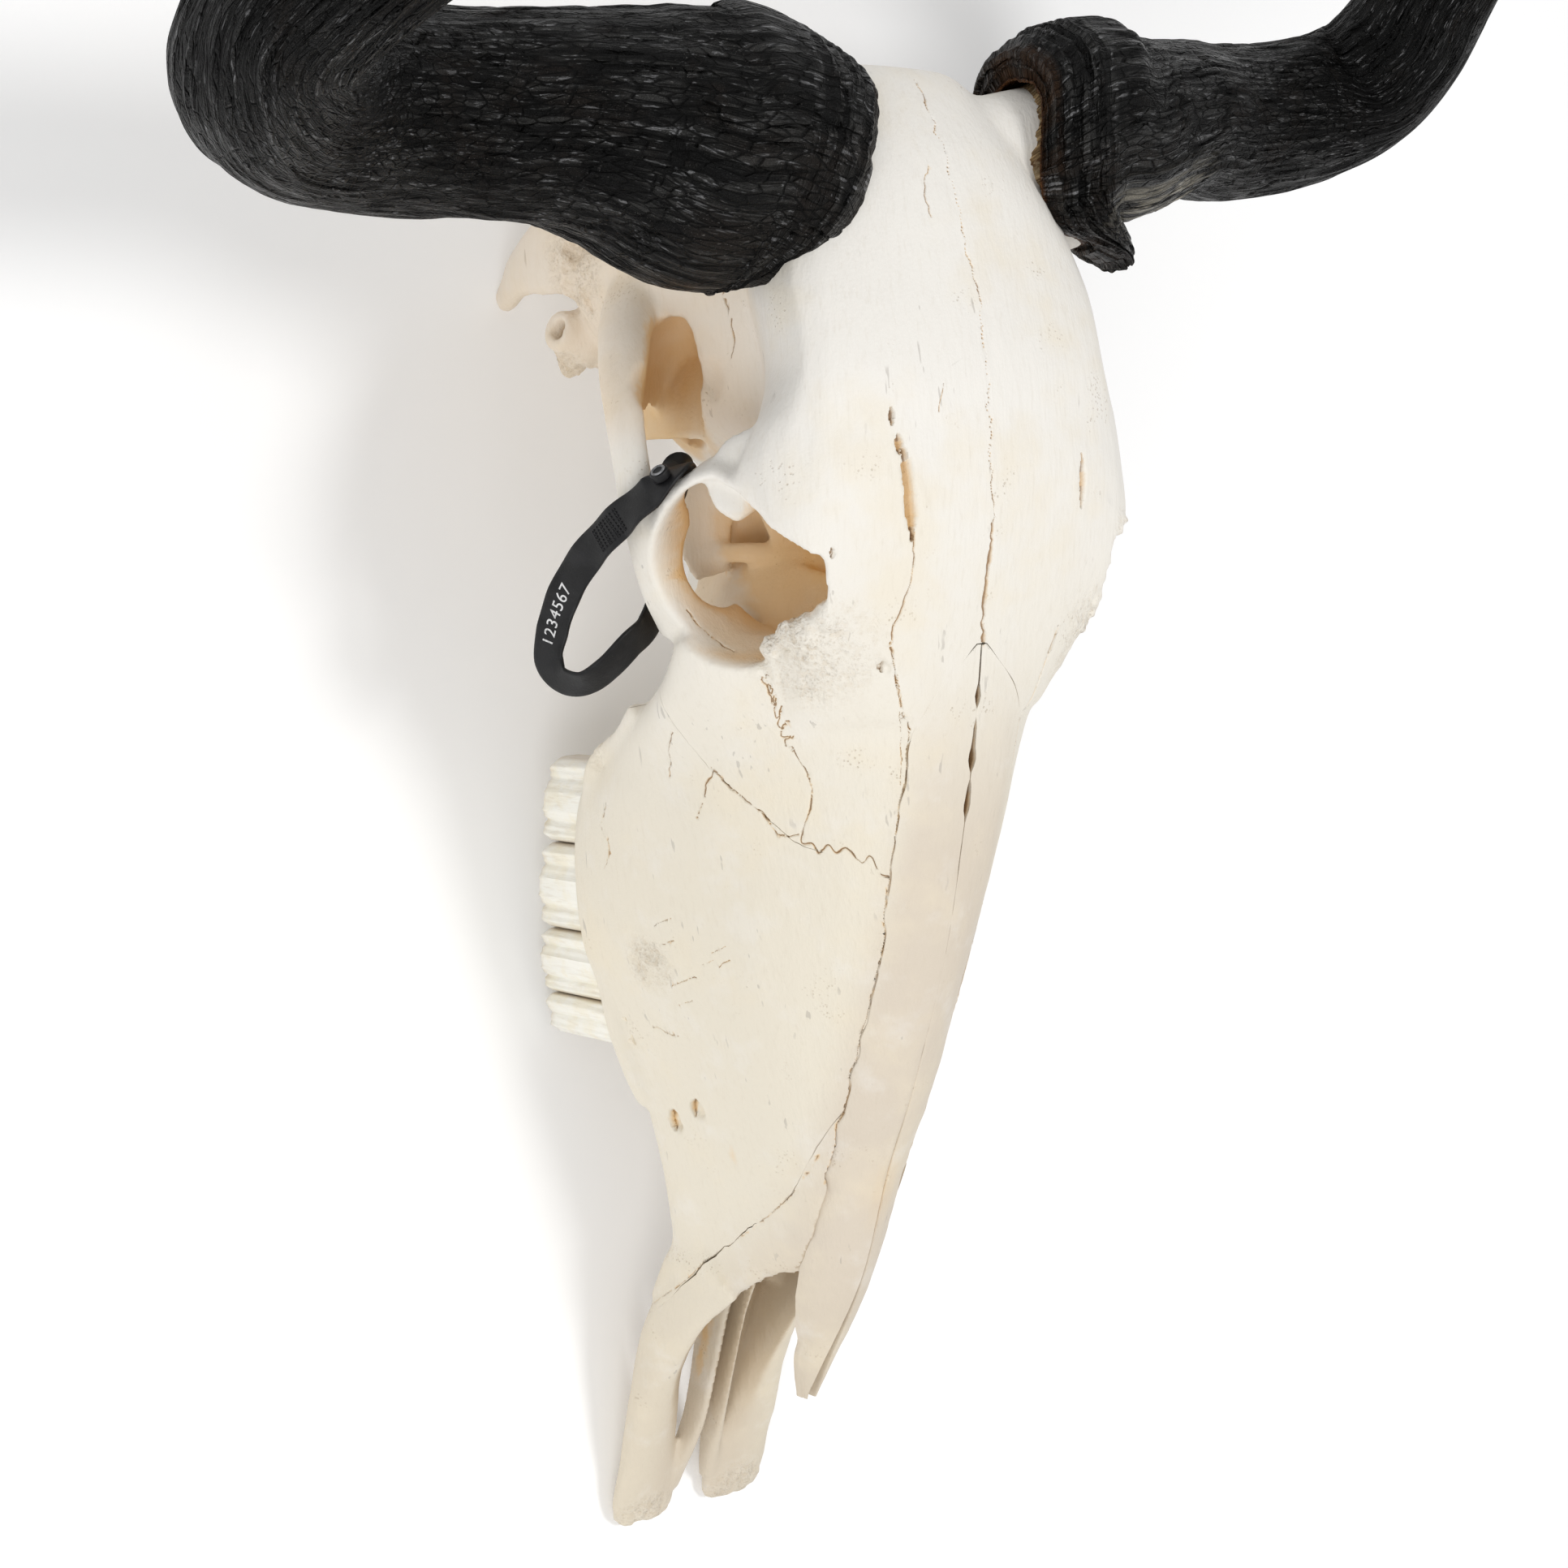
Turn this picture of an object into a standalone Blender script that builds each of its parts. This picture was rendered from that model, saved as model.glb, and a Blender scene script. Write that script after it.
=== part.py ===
"""Wildebeest skull without its lower jaw, resting as it lies on a table: the bones, the two horn sheaths
and the numbered strap tied round one cheek bone.

The frame: X is across the skull (the animal's left is +X), the nose points to -Y and the forehead faces up,
+Z. The skull is modelled in millimetres, standing on Z = 0, and scaled to metres as each mesh is made.
"""

import math

import bmesh
import bpy
from mathutils import Matrix, Vector

# Driving dimensions, in millimetres.
MM = 0.001
FOREHEAD_Z = 199.0        # highest line of the skull above the floor
OCCIPUT_Y = 214.0         # rear end of the skull roof, where the horn bosses meet
NASAL_TIP_Y = -221.0
NASAL_REAR_Y = 42.0
NASAL_THICK = 4.5
NASAL_STEPS = 16
PREMAXILLA_TIP_Y = -285.0
ORBIT_CENTRE = (70.0, 67.0, 163.5)
ORBIT_RADIUS = 29.5
ORBIT_FACING = (0.90, -0.32, 0.28)
BONE_GAP = 0.35           # clearance between neighbouring bones and pieces
STRAP_WIDTH = 11.0
STRAP_THICK = 1.6
SKULL_VOXEL = 2.2
RING_POINTS = 28
STRAP_RINGS = 48
SKULL_TRIANGLES = 4400

BONE = ("bone", (0.83, 0.79, 0.69), 0.62)
HORN = ("horn", (0.025, 0.022, 0.020), 0.42)
PLASTIC = ("strap_plastic", (0.012, 0.012, 0.013), 0.38)

for old in list(bpy.data.objects):
    bpy.data.objects.remove(old, do_unlink=True)


def material(name, colour, roughness):
    if name in bpy.data.materials:
        return bpy.data.materials[name]
    made = bpy.data.materials.new(name)
    made.use_nodes = True
    shader = made.node_tree.nodes["Principled BSDF"]
    shader.inputs["Base Color"].default_value = (*colour, 1.0)
    shader.inputs["Roughness"].default_value = roughness
    shader.inputs["Metallic"].default_value = 0.0
    return made


def catmull(before, start, end, after, t):
    """One point of the smooth curve through four, between start and end."""
    return 0.5 * (2 * start + (end - before) * t
                  + (2 * before - 5 * start + 4 * end - after) * t * t
                  + (3 * start - before - 3 * end + after) * t * t * t)


def smooth_line(points, steps):
    """An open smooth curve through the points, with steps intervals between each two."""
    points = [Vector(p) for p in points]
    line = []
    for i in range(len(points) - 1):
        before = points[i - 1] if i else 2 * points[0] - points[1]
        after = points[i + 2] if i + 2 < len(points) else 2 * points[-1] - points[-2]
        line += [catmull(before, points[i], points[i + 1], after, k / steps) for k in range(steps)]
    return line + [points[-1]]


def smooth_ring(points, count):
    """A closed smooth curve through the points, with count points spaced evenly along it."""
    points = [Vector(p) for p in points]
    n = len(points)
    dense = []
    for i in range(n):
        quad = [points[(i + k) % n] for k in (-1, 0, 1, 2)]
        dense += [catmull(*quad, k / 12) for k in range(12)]
    lengths = [0.0]
    for a, b in zip(dense, dense[1:] + dense[:1]):
        lengths.append(lengths[-1] + (b - a).length)
    ring = []
    place = 0
    for k in range(count):
        want = lengths[-1] * k / count
        while lengths[place + 1] < want:
            place += 1
        part = (want - lengths[place]) / max(lengths[place + 1] - lengths[place], 1e-9)
        ring.append(dense[place].lerp(dense[(place + 1) % len(dense)], part))
    return ring


def mesh_object(name, points, faces):
    """An object from points in millimetres, with its faces turned outwards."""
    mesh = bpy.data.meshes.new(name)
    mesh.from_pydata([Vector(p) * MM for p in points], [], faces)
    shape = bmesh.new()
    shape.from_mesh(mesh)
    bmesh.ops.recalc_face_normals(shape, faces=shape.faces)
    shape.to_mesh(mesh)
    shape.free()
    made = bpy.data.objects.new(name, mesh)
    bpy.context.scene.collection.objects.link(made)
    return made


def loft(name, rings, closed=False):
    """A skin over rings of equal count, capped at both ends unless it closes on itself."""
    count = len(rings[0])
    points = [p for ring in rings for p in ring]
    faces = []
    last = len(rings) if closed else len(rings) - 1
    for r in range(last):
        here, there = r * count, (r + 1) % len(rings) * count
        for k in range(count):
            nxt = (k + 1) % count
            faces.append((here + k, here + nxt, there + nxt, there + k))
    if not closed:
        faces.append(tuple(range(count)))
        faces.append(tuple((len(rings) - 1) * count + k for k in range(count)))
    return mesh_object(name, points, faces)


def lengthwise(name, stations, steps=3, count=RING_POINTS):
    """A body along Y, symmetric in X. Each station is (y, half outline), the outline running from the top
    middle, round the +X side, to the bottom middle as (x, z) pairs."""
    width = len(stations[0][1])
    tracks = [smooth_line([(s[1][k][0], s[0], s[1][k][1]) for s in stations], steps) for k in range(width)]
    rings = []
    for i in range(len(tracks[0])):
        half = [track[i] for track in tracks]
        other = [Vector((-p.x, p.y, p.z)) for p in reversed(half[1:-1])]
        rings.append(smooth_ring(half + other, count))
    return loft(name, rings)


def tube(name, stations, steps=4, count=16, roll=(0, 0, 1), closed=False):
    """A bar along stations (x, y, z, half width, half depth); its depth lies nearest to the roll direction."""
    line = smooth_line([s[:3] for s in stations], steps)
    sizes = smooth_line([(s[3], s[4], 0) for s in stations], steps)
    rings = []
    for i, (centre, size) in enumerate(zip(line, sizes)):
        along = (line[min(i + 1, len(line) - 1)] - line[max(i - 1, 0)]).normalized()
        side = along.cross(Vector(roll)).normalized()
        deep = side.cross(along)
        rings.append([centre + side * size.x * math.cos(a) + deep * size.y * math.sin(a)
                      for a in (2 * math.pi * k / count for k in range(count))])
    return loft(name, rings, closed)


def ellipsoid(name, centre, radii, turn=(0, 0, 0)):
    shape = bmesh.new()
    bmesh.ops.create_uvsphere(shape, u_segments=24, v_segments=16, radius=1.0)
    frame = Matrix.Rotation(turn[0], 3, "X") @ Matrix.Rotation(turn[1], 3, "Y") @ Matrix.Rotation(turn[2], 3, "Z")
    for v in shape.verts:
        v.co = (frame @ Vector(c * r for c, r in zip(v.co, radii)) + Vector(centre)) * MM
    mesh = bpy.data.meshes.new(name)
    shape.to_mesh(mesh)
    shape.free()
    made = bpy.data.objects.new(name, mesh)
    bpy.context.scene.collection.objects.link(made)
    return made


def mirrored(made):
    """A second object, reflected to the -X side."""
    twin = bpy.data.objects.new(made.name + "_twin", made.data.copy())
    shape = bmesh.new()
    shape.from_mesh(twin.data)
    for v in shape.verts:
        v.co.x = -v.co.x
    bmesh.ops.reverse_faces(shape, faces=shape.faces)
    shape.to_mesh(twin.data)
    shape.free()
    bpy.context.scene.collection.objects.link(twin)
    return twin


def both_sides(made):
    return [made, mirrored(made)]


def joined(name, pieces):
    """All the pieces as one object, still loose inside each other."""
    shape = bmesh.new()
    for piece in pieces:
        shape.from_mesh(piece.data)
        bpy.data.objects.remove(piece, do_unlink=True)
    mesh = bpy.data.meshes.new(name)
    shape.to_mesh(mesh)
    shape.free()
    made = bpy.data.objects.new(name, mesh)
    bpy.context.scene.collection.objects.link(made)
    return made


def settle(made):
    """Applies the object's modifiers."""
    bpy.context.view_layer.update()
    result = bpy.data.meshes.new_from_object(made.evaluated_get(bpy.context.evaluated_depsgraph_get()))
    made.modifiers.clear()
    made.data = result
    return made


def fuse(made, voxel, rounds, factor=0.5):
    """Melts overlapping pieces into one skin and softens it."""
    grid = made.modifiers.new("grid", "REMESH")
    grid.mode = "VOXEL"
    grid.voxel_size = voxel * MM
    soften = made.modifiers.new("soften", "SMOOTH")
    soften.iterations = rounds
    soften.factor = factor
    return settle(made)


def carve(made, tools):
    """Cuts the tools out of the object and deletes them."""
    for tool in tools:
        cut = made.modifiers.new("cut", "BOOLEAN")
        cut.operation = "DIFFERENCE"
        cut.object = tool
        settle(made)
        bpy.data.objects.remove(tool, do_unlink=True)
    return made


def thin_out(made, triangles):
    """Reduces the mesh to about that many triangles."""
    total = sum(len(p.vertices) - 2 for p in made.data.polygons)
    if total > triangles:
        fewer = made.modifiers.new("fewer", "DECIMATE")
        fewer.ratio = triangles / total
        settle(made)
    return made


def track(*places):
    """A smooth function of y through (y, value) places."""
    line = smooth_line([(y, value, 0) for y, value in places], 12)

    def value_at(y):
        for a, b in zip(line, line[1:]):
            if y <= b.x:
                break
        part = (y - a.x) / (b.x - a.x)
        return a.y + (b.y - a.y) * part
    return value_at


# The roof of the nose: height of its ridge, half width and drop of each nasal bone's outer edge.
crown = track((-222, 86), (-208, 95), (-172, 118), (-131, 135), (-99, 151), (-57, 168), (-10, 181), (28, 189),
              (65, 196), (89, FOREHEAD_Z), (137, 198), (162, 192), (196, 184), (OCCIPUT_Y, 172))
nasal_half = track((-222, 2.5), (-208, 7), (-190, 11.5), (-165, 15.5), (-110, 18), (-60, 19), (-30, 21), (25, 22),
                   (60, 16))
nasal_drop = track((-222, 2), (-208, 6), (-190, 10), (-165, 14), (-110, 11), (-60, 9), (-30, 7), (25, 4), (60, 2))


def roofed(y, *rest):
    """A station of the muzzle whose first two places come from the roof of the nose."""
    return (y, [(0, crown(y)), (nasal_half(y), crown(y) - nasal_drop(y)), *rest])


def muzzle():
    """Maxillae, lacrimals, palatines and premaxillae: from the tip of the nose to the fronts of the orbits."""
    return lengthwise("muzzle", [
        (PREMAXILLA_TIP_Y, [(0, 3), (10, 4.5), (17, 5), (22, 3), (20, 1), (12, 1), (0, 1.5)]),
        (-278, [(0, 5), (12, 7), (25, 8), (33, 5), (28, 1), (16, 0.5), (0, 2)]),
        (-266, [(0, 12), (16, 14), (28, 14), (35, 8), (31, 3), (20, 2), (0, 3)]),
        (-245, [(0, 26), (16, 27), (25, 26), (31, 18), (29, 11), (20, 9), (0, 9)]),
        (-218, [(0, 42), (14, 42), (23, 42), (28, 30), (27, 19), (19, 17), (0, 17)]),
        (-192, [(0, 60), (13, 60), (22, 58), (28, 45), (27, 28), (18, 26), (0, 27)]),
        (-177, [(0, 84), (13, 84), (20, 80), (27, 58), (26, 37), (17, 35), (0, 36)]),
        roofed(-162, (22, 86), (27, 62), (26, 43), (17, 43), (0, 48)),
        roofed(-110, (33, 106), (39, 72), (37, 46), (27, 47), (0, 58)),
        roofed(-60, (42, 124), (54, 78), (54, 40), (38, 42), (0, 60)),
        roofed(-15, (46, 140), (60, 96), (56, 44), (38, 46), (0, 64)),
        roofed(8, (47, 152), (63, 108), (53, 58), (36, 52), (0, 70)),
        roofed(30, (52, 164), (72, 128), (54, 96), (30, 80), (0, 82)),
        roofed(48, (58, 172), (76, 140), (54, 120), (24, 92), (0, 90)),
    ], count=34)


def skull_roof():
    """Frontal and parietal bones, spreading into the roofs of the orbits and in again behind them."""
    return lengthwise("skull_roof", [
        (20, [(0, crown(20)), (26, 183), (48, 162), (44, 148), (0, 132)]),
        (50, [(0, crown(50)), (42, 189), (58, 181), (52, 166), (0, 120)]),
        (66, [(0, crown(66)), (50, 192), (63, 187), (56, 172), (0, 110)]),
        (79, [(0, crown(79)), (54, 193), (70, 184), (61, 168), (0, 104)]),
        (94, [(0, crown(94)), (54, 194), (74, 176), (64, 160), (0, 100)]),
        (108, [(0, crown(108)), (54, 193), (70, 176), (54, 156), (0, 100)]),
        (127, [(0, crown(127)), (53, 192), (60, 178), (46, 150), (0, 100)]),
        (155, [(0, crown(155)), (48, 187), (59, 174), (46, 142), (0, 100)]),
        (190, [(0, crown(190)), (34, 181), (46, 164), (44, 135), (0, 100)]),
        (OCCIPUT_Y, [(0, crown(OCCIPUT_Y)), (22, 168), (34, 150), (32, 130), (0, 110)]),
        (OCCIPUT_Y + 5, [(0, 162), (12, 160), (20, 148), (18, 136), (0, 126)]),
    ])


def braincase():
    """Temporal, sphenoid and occipital bones round the brain, down to the base of the skull."""
    return lengthwise("braincase", [
        (30, [(0, 170), (26, 150), (22, 104), (14, 84), (0, 82)]),
        (62, [(0, 175), (22, 150), (20, 110), (15, 86), (0, 84)]),
        (92, [(0, 175), (26, 150), (28, 114), (18, 84), (0, 80)]),
        (112, [(0, 175), (40, 150), (48, 112), (26, 70), (0, 66)]),
        (130, [(0, 175), (46, 150), (54, 100), (34, 62), (0, 56)]),
        (148, [(0, 175), (48, 150), (56, 94), (44, 54), (0, 50)]),
        (168, [(0, 175), (50, 150), (60, 90), (48, 50), (0, 46)]),
        (186, [(0, 172), (50, 150), (52, 98), (34, 56), (0, 46)]),
        (202, [(0, 165), (42, 145), (42, 104), (24, 72), (0, 68)]),
        (211, [(0, 150), (28, 140), (26, 116), (16, 98), (0, 94)]),
    ])


def orbit_frame():
    """The orbit's own axes: its facing direction and two directions in the plane of its rim."""
    out = Vector(ORBIT_FACING).normalized()
    up = (Vector((0, 0, 1)) - out * out.z).normalized()
    return out, up, out.cross(up)


def orbit_ring(depth, radius):
    """Points round the orbit at a depth below the plane of its rim."""
    out, up, along = orbit_frame()
    centre = Vector(ORBIT_CENTRE) - out * depth
    return [centre + (up * math.cos(a) + along * math.sin(a)) * radius
            for a in (2 * math.pi * k / RING_POINTS for k in range(RING_POINTS))]


def orbit_rim():
    """The raised ring of bone round the eye."""
    out, up, along = orbit_frame()
    rings = []
    for i in range(36):
        a = 2 * math.pi * i / 36
        radial = up * math.cos(a) + along * math.sin(a)
        centre = Vector(ORBIT_CENTRE) + radial * (ORBIT_RADIUS + 1.2) - out * 11
        rings.append([centre + radial * 4 * math.cos(b) + out * 12 * math.sin(b)
                      for b in (2 * math.pi * k / 12 for k in range(12))])
    return loft("orbit_rim", rings, closed=True)


def cheek_bars():
    """The zygomatic arch from the orbit back to the ear, and the shelf it springs from."""
    arch = tube("arch", [(66, 50, 128, 6, 9), (75, 66, 131, 6, 10), (80, 82, 133, 5, 9), (80, 97, 131, 5, 8),
                         (78, 116, 124, 5, 8), (69, 137, 111, 6, 9), (58, 152, 98, 8, 11), (46, 160, 90, 9, 12)])
    shelf = tube("shelf", [(40, 124, 100, 15, 9), (58, 126, 103, 13, 7), (72, 128, 112, 9, 6)], roll=(0, 0, 1))
    return [arch, shelf]


def skull_base():
    """Ear region, paroccipital processes and condyles."""
    bulla = ellipsoid("bulla", (33, 137, 46), (12, 15, 13))
    ear_tube = tube("ear_tube", [(30, 142, 52, 8, 8), (45, 146, 47, 8, 8), (55, 149, 48, 7, 7)])
    process = tube("paroccipital", [(50, 174, 64, 6, 15), (52, 174, 42, 4, 14), (50, 170, 20, 3.5, 9),
                                    (47, 164, 7, 3.5, 5.5), (46, 162, 1, 3.2, 4)], roll=(0, 1, 0))
    condyle = ellipsoid("condyle", (21, 194, 46), (13, 15, 20), (0.3, 0, 0))
    return [bulla, ear_tube, process, condyle]


def throat_plates():
    """The pterygoid and palatine walls on both sides of the inner nostrils."""
    return [tube("pterygoid", [(24, 4, 68, 5, 15), (20, 36, 74, 3, 18), (17, 66, 78, 2.5, 16),
                               (17, 92, 78, 3, 12)], roll=(0, 0, 1))]


def tuber():
    """The root plate of the last molar."""
    return ellipsoid("tuber", (43, -10, 62), (13, 26, 24))


def orbit_tool():
    """The eye socket, a bowl that narrows inwards and backwards."""
    rings = []
    for depth, radius, back in ((-30, 40, 0), (-8, 31, 0), (0, ORBIT_RADIUS, 0), (14, 27.5, 1), (28, 24, 3),
                                (38, 18, 6), (44, 8, 9)):
        rings.append([p + Vector((0, back, -back * 0.3)) for p in orbit_ring(depth, radius)])
    return loft("orbit_tool", rings)


def temple_tool():
    """The temporal fossa: the hollow behind the eye, open down to the floor inside the arch."""
    bowl = tube("temple_bowl", [(104, 134, 170, 17, 12), (84, 130, 152, 17, 14), (66, 126, 134, 15, 14),
                                (58, 120, 124, 10, 10)], roll=(0, 1, 0), count=20)
    passage = tube("temple_passage", [(70, 106, 152, 16, 12), (63, 100, 130, 15, 13), (56, 92, 100, 20, 14),
                                      (56, 86, 60, 26, 18), (58, 84, 30, 30, 20)], roll=(1, 0, 0), count=20)
    return [bowl, passage]


def socket_doors():
    """Where the eye socket opens into the temple behind it and into the space below it."""
    rear = tube("rear_door", [(54, 78, 142, 13, 13), (57, 94, 142, 13, 13), (61, 113, 145, 12, 12)], count=20)
    floor = tube("floor_door", [(56, 76, 148, 13, 16), (54, 70, 122, 13, 16), (52, 64, 96, 13, 15)],
                 roll=(0, 1, 0), count=20)
    return [rear, floor]


def undercut_tool():
    """The space under the orbit, between the cheek and the palate."""
    return tube("undercut_tool", [(60, 34, 66, 16, 16), (54, 58, 94, 16, 20), (48, 84, 98, 16, 20)],
                roll=(1, 0, 0), count=20)


def nose_tool():
    """The nasal passage, from the open front end as far back as light reaches."""
    return lengthwise("nose_tool", [
        (-300, [(0, 60), (16, 58), (30, 40), (26, 15), (0, 15)]),
        (-262, [(0, 60), (16, 56), (27, 34), (20, 16), (0, 15)]),
        (-245, [(0, 70), (14, 66), (24, 44), (21, 21), (0, 17)]),
        (-218, [(0, 80), (12, 78), (22, 54), (20, 28), (0, 25)]),
        (-192, [(0, 98), (9, 95), (18, 75), (20, 50), (0, 38)]),
        (-162, [(0, 116), (12, 105), (18, 84), (21, 62), (0, 52)]),
        (-132, [(0, 129), (14, 119), (24, 98), (27, 74), (0, 60)]),
        (-95, [(0, 146), (15, 136), (28, 112), (31, 86), (0, 70)]),
        (-60, [(0, 156), (13, 148), (22, 128), (20, 100), (0, 84)]),
        (-35, [(0, 150), (5, 146), (8, 134), (6, 118), (0, 112)]),
    ])


def fissure_tool():
    """The slot through the floor of the nose, between a premaxilla's two prongs."""
    return tube("fissure_tool", [(9, -252, 12, 2.5, 14), (9, -235, 16, 3.4, 16), (9.5, -206, 28, 3.6, 16),
                                 (9.5, -184, 42, 3, 16)])


def throat_tool():
    """The inner nostrils, open to below behind the palate."""
    return tube("throat_tool", [(0, 96, 40, 13, 14), (0, 70, 62, 13, 16), (0, 34, 72, 14, 12),
                                (0, 0, 80, 12, 8)], roll=(0, 0, 1))


def magnum_tool():
    """The foramen magnum and the hollow of the brain just inside it."""
    return tube("magnum_tool", [(0, 225, 70, 15, 14), (0, 200, 72, 15, 14), (0, 178, 78, 17, 16),
                                (0, 166, 84, 8, 8)])


def nasal(gap=0.0):
    """One nasal bone, a long curved plate; with a gap it is the bed cut for it and its twin."""
    rings = []
    for i in range(NASAL_STEPS + 1):
        y = NASAL_TIP_Y + (NASAL_REAR_Y - NASAL_TIP_Y) * i / NASAL_STEPS
        half, top, drop = nasal_half(y), crown(y), nasal_drop(y)
        if i == NASAL_STEPS and not gap:
            half *= 0.6
        edge = top - drop
        under = top - drop * 0.3 - NASAL_THICK - 1
        if gap:
            y += gap * (2 * i / NASAL_STEPS - 1)
            low = edge - NASAL_THICK - 0.4 - gap
            wide = half + gap
            section = [(-wide, 230), (wide, 230), (wide, low), (half * 0.5, under - 0.4 - gap),
                       (-half * 0.5, under - 0.4 - gap), (-wide, low)]
        else:
            section = [(0.2, top), (half * 0.55, top - drop * 0.3), (half * 0.86, top - drop * 0.68), (half, edge),
                       (half - 0.4, edge - NASAL_THICK * 0.8), (half * 0.5, under), (0.2, top - NASAL_THICK - 1)]
        rings.append([Vector((x, y, z)) for x, z in section])
    return loft("nasal", rings)


def prism(name, outline, half=140.0):
    """A block that spans the skull in X, from its outline of (y, z) places."""
    return loft(name, [[Vector((x, y, z)) for y, z in outline] for x in (-half, half)])


# Sutures seen from the side, as (y, z) places on the cheek, from the floor up.
PREMAXILLA_SUTURE = [(-197, -20), (-197, 29), (-171, 65), (-153, 92), (-140, 110), (-106, 139), (-100, 170)]
CHEEK_SUTURE = [(24, -20), (24, 84), (38, 108), (28, 120), (7, 127), (-7, 139), (-16, 146), (-21, 154), (-24, 164),
                (-30, 172), (-30, 240)]


def set_back(suture, gap):
    """The suture line moved square to itself, towards the rear of the skull."""
    places = [Vector(p) for p in suture]
    moved = []
    for i, place in enumerate(places):
        before = (place - places[max(i - 1, 0)]).normalized()
        after = (places[min(i + 1, len(places) - 1)] - place).normalized()
        along = (before + after).normalized()
        moved.append((place.x + along.y * gap, place.y - along.x * gap))
    return moved


def front_of(suture, gap):
    """All that lies in front of a suture moved back by gap."""
    edge = set_back(suture, gap)
    return prism("front", [(-400, edge[-1][1]), (-400, edge[0][1]), *edge])


def rear_of(suture, gap):
    """All that lies behind a suture moved back by gap."""
    edge = set_back(suture, gap)
    return prism("rear", [(400, edge[0][1]), (400, edge[-1][1]), *reversed(edge)])


def combined(made, tool, how):
    """The object united with, or kept to, another; the tool is used up."""
    step = made.modifiers.new("step", "BOOLEAN")
    step.operation = how
    step.object = tool
    settle(made)
    bpy.data.objects.remove(tool, do_unlink=True)
    return made


def copy_of(made, name):
    twin = bpy.data.objects.new(name, made.data.copy())
    bpy.context.scene.collection.objects.link(twin)
    return twin


def molar(rear, front, gum, bite, outer, inner):
    """One cheek tooth of the +X row: a block with three ribs down its cheek side, held in the jaw."""
    middle, half = (rear + front) / 2, abs(rear - front) / 2 - 0.2
    deep = outer - inner
    outline = [(1, -0.9), (0.88, -0.7), (0.9, -0.3), (1, 0), (0.9, 0.3), (0.88, 0.7), (1, 0.9), (0.9, 1),
               (0.3, 0.92), (0.05, 0.6), (0.15, 0.05), (0.05, -0.55), (0.3, -0.92), (0.9, -1)]
    rings = []
    for z, size in ((gum + 14, 0.86), (gum, 1.0), (bite + 3, 1.0), (bite, 0.9)):
        rings.append([Vector((inner + deep * (0.5 + (x - 0.5) * size), middle + y * half * size, z))
                      for x, y in outline])
    return loft("molar", rings)


def cheek_teeth():
    """Last premolar and the three molars, as (rear, front, gum, bite, outer, inner)."""
    row = [(5, -25, 50, 26, 54, 34), (-25, -56, 46, 18, 56, 33), (-56, -80, 44, 11, 53, 33),
           (-80, -95, 44, 8, 47, 31)]
    return [side for tooth in row for side in both_sides(molar(*tooth))]


def horn(name, side, girth, swing, twist, spread, slip, gap=0.0):
    """A horn sheath: a broad boss on the brow, a neck, a slight sag outwards, and a bend up and in to the
    point. Swing turns it back about its root, twist turns its bend, slip slides it off its core."""
    stations = [(44, 182, 165, 38, 27), (53, 186, 166, 40, 30), (66, 190, 166, 41, 31), (80, 191, 165, 40, 31),
                (95, 195, 162, 37, 30), (108, 198, 160, 33, 29), (124, 201, 156, 30, 28), (142, 202, 151, 29, 27.5),
                (162, 203, 149, 28.5, 27), (181, 204, 151, 28, 26.5), (198, 206, 158, 27.5, 26.5),
                (211, 210, 171, 26.5, 25.5), (218, 218, 189, 25, 24.5), (219, 227, 208, 23, 22.5),
                (216, 236, 228, 20.5, 20), (208, 246, 249, 17.5, 17), (195, 256, 270, 14, 13.5),
                (178, 265, 290, 9.5, 9), (158, 272, 306, 3.2, 3.2)]
    root = Vector((50, 190, 163))
    bend = Vector((0, 204, 152))
    placed = []
    for x, y, z, tall, deep in stations:
        part = min(max((x - 110) / 70, 0.0), 1.0) if z < 200 else 1.0
        x += spread * min(max((z - 165) / 40, 0.0), 1.0) * part
        p = bend + Matrix.Rotation(-twist * part, 3, "X") @ (Vector((x, y, z)) - bend)
        p = root + Matrix.Rotation(swing, 3, "Z") @ (p - root) + Vector(slip)
        placed.append((p.x, p.y, p.z, tall * girth + gap, deep * girth + gap))
    made = tube(name, placed, steps=1, count=18, roll=(0, -0.35, 0.94))
    if side < 0:
        twin = mirrored(made)
        bpy.data.objects.remove(made, do_unlink=True)
        made = twin
    made.name = name
    made.data.name = name
    return made


def strap_course():
    """The strap's middle line with its width and outward directions. It passes through the gap behind the
    eye socket, under the socket and out below the cheek, then hangs as a free loop."""
    on_bone, free = Vector((0.10, 0.49, 0.87)), Vector((0.45, -0.43, 0.775))
    route = [(-87, 92, 144, 0.3), (-81, 100, 147, 0), (-74, 107, 149, 0), (-64, 108, 147, 0.1), (-57, 101, 141, 0.2),
             (-55, 89, 132, 0.4), (-57, 75, 122, 0.6), (-64, 60, 114, 0.8), (-75, 47, 110, 1), (-86, 36, 105, 1),
             (-93, 34, 98, 1), (-97, 44, 97, 1), (-98, 60, 107, 1), (-95, 74, 124, 0.9), (-92, 83, 136, 0.6)]
    line = smooth_ring([place[:3] for place in route], STRAP_RINGS)
    course = []
    for i, centre in enumerate(line):
        along = (line[(i + 1) % len(line)] - line[i - 1]).normalized()
        nearest = min(route, key=lambda place: (Vector(place[:3]) - centre).length)
        across = on_bone.lerp(free, nearest[3])
        wide = (across - along * across.dot(along)).normalized()
        course.append((centre, wide, wide.cross(along)))
    return course


def strap_loop():
    """The plastic strap, one closed band of even width."""
    corners = ((1, 1), (-1, 1), (-1, -1), (1, -1))
    return loft("tag_strap", [[centre + wide * a * STRAP_WIDTH / 2 + out * b * STRAP_THICK / 2 for a, b in corners]
                              for centre, wide, out in strap_course()], closed=True)


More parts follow.
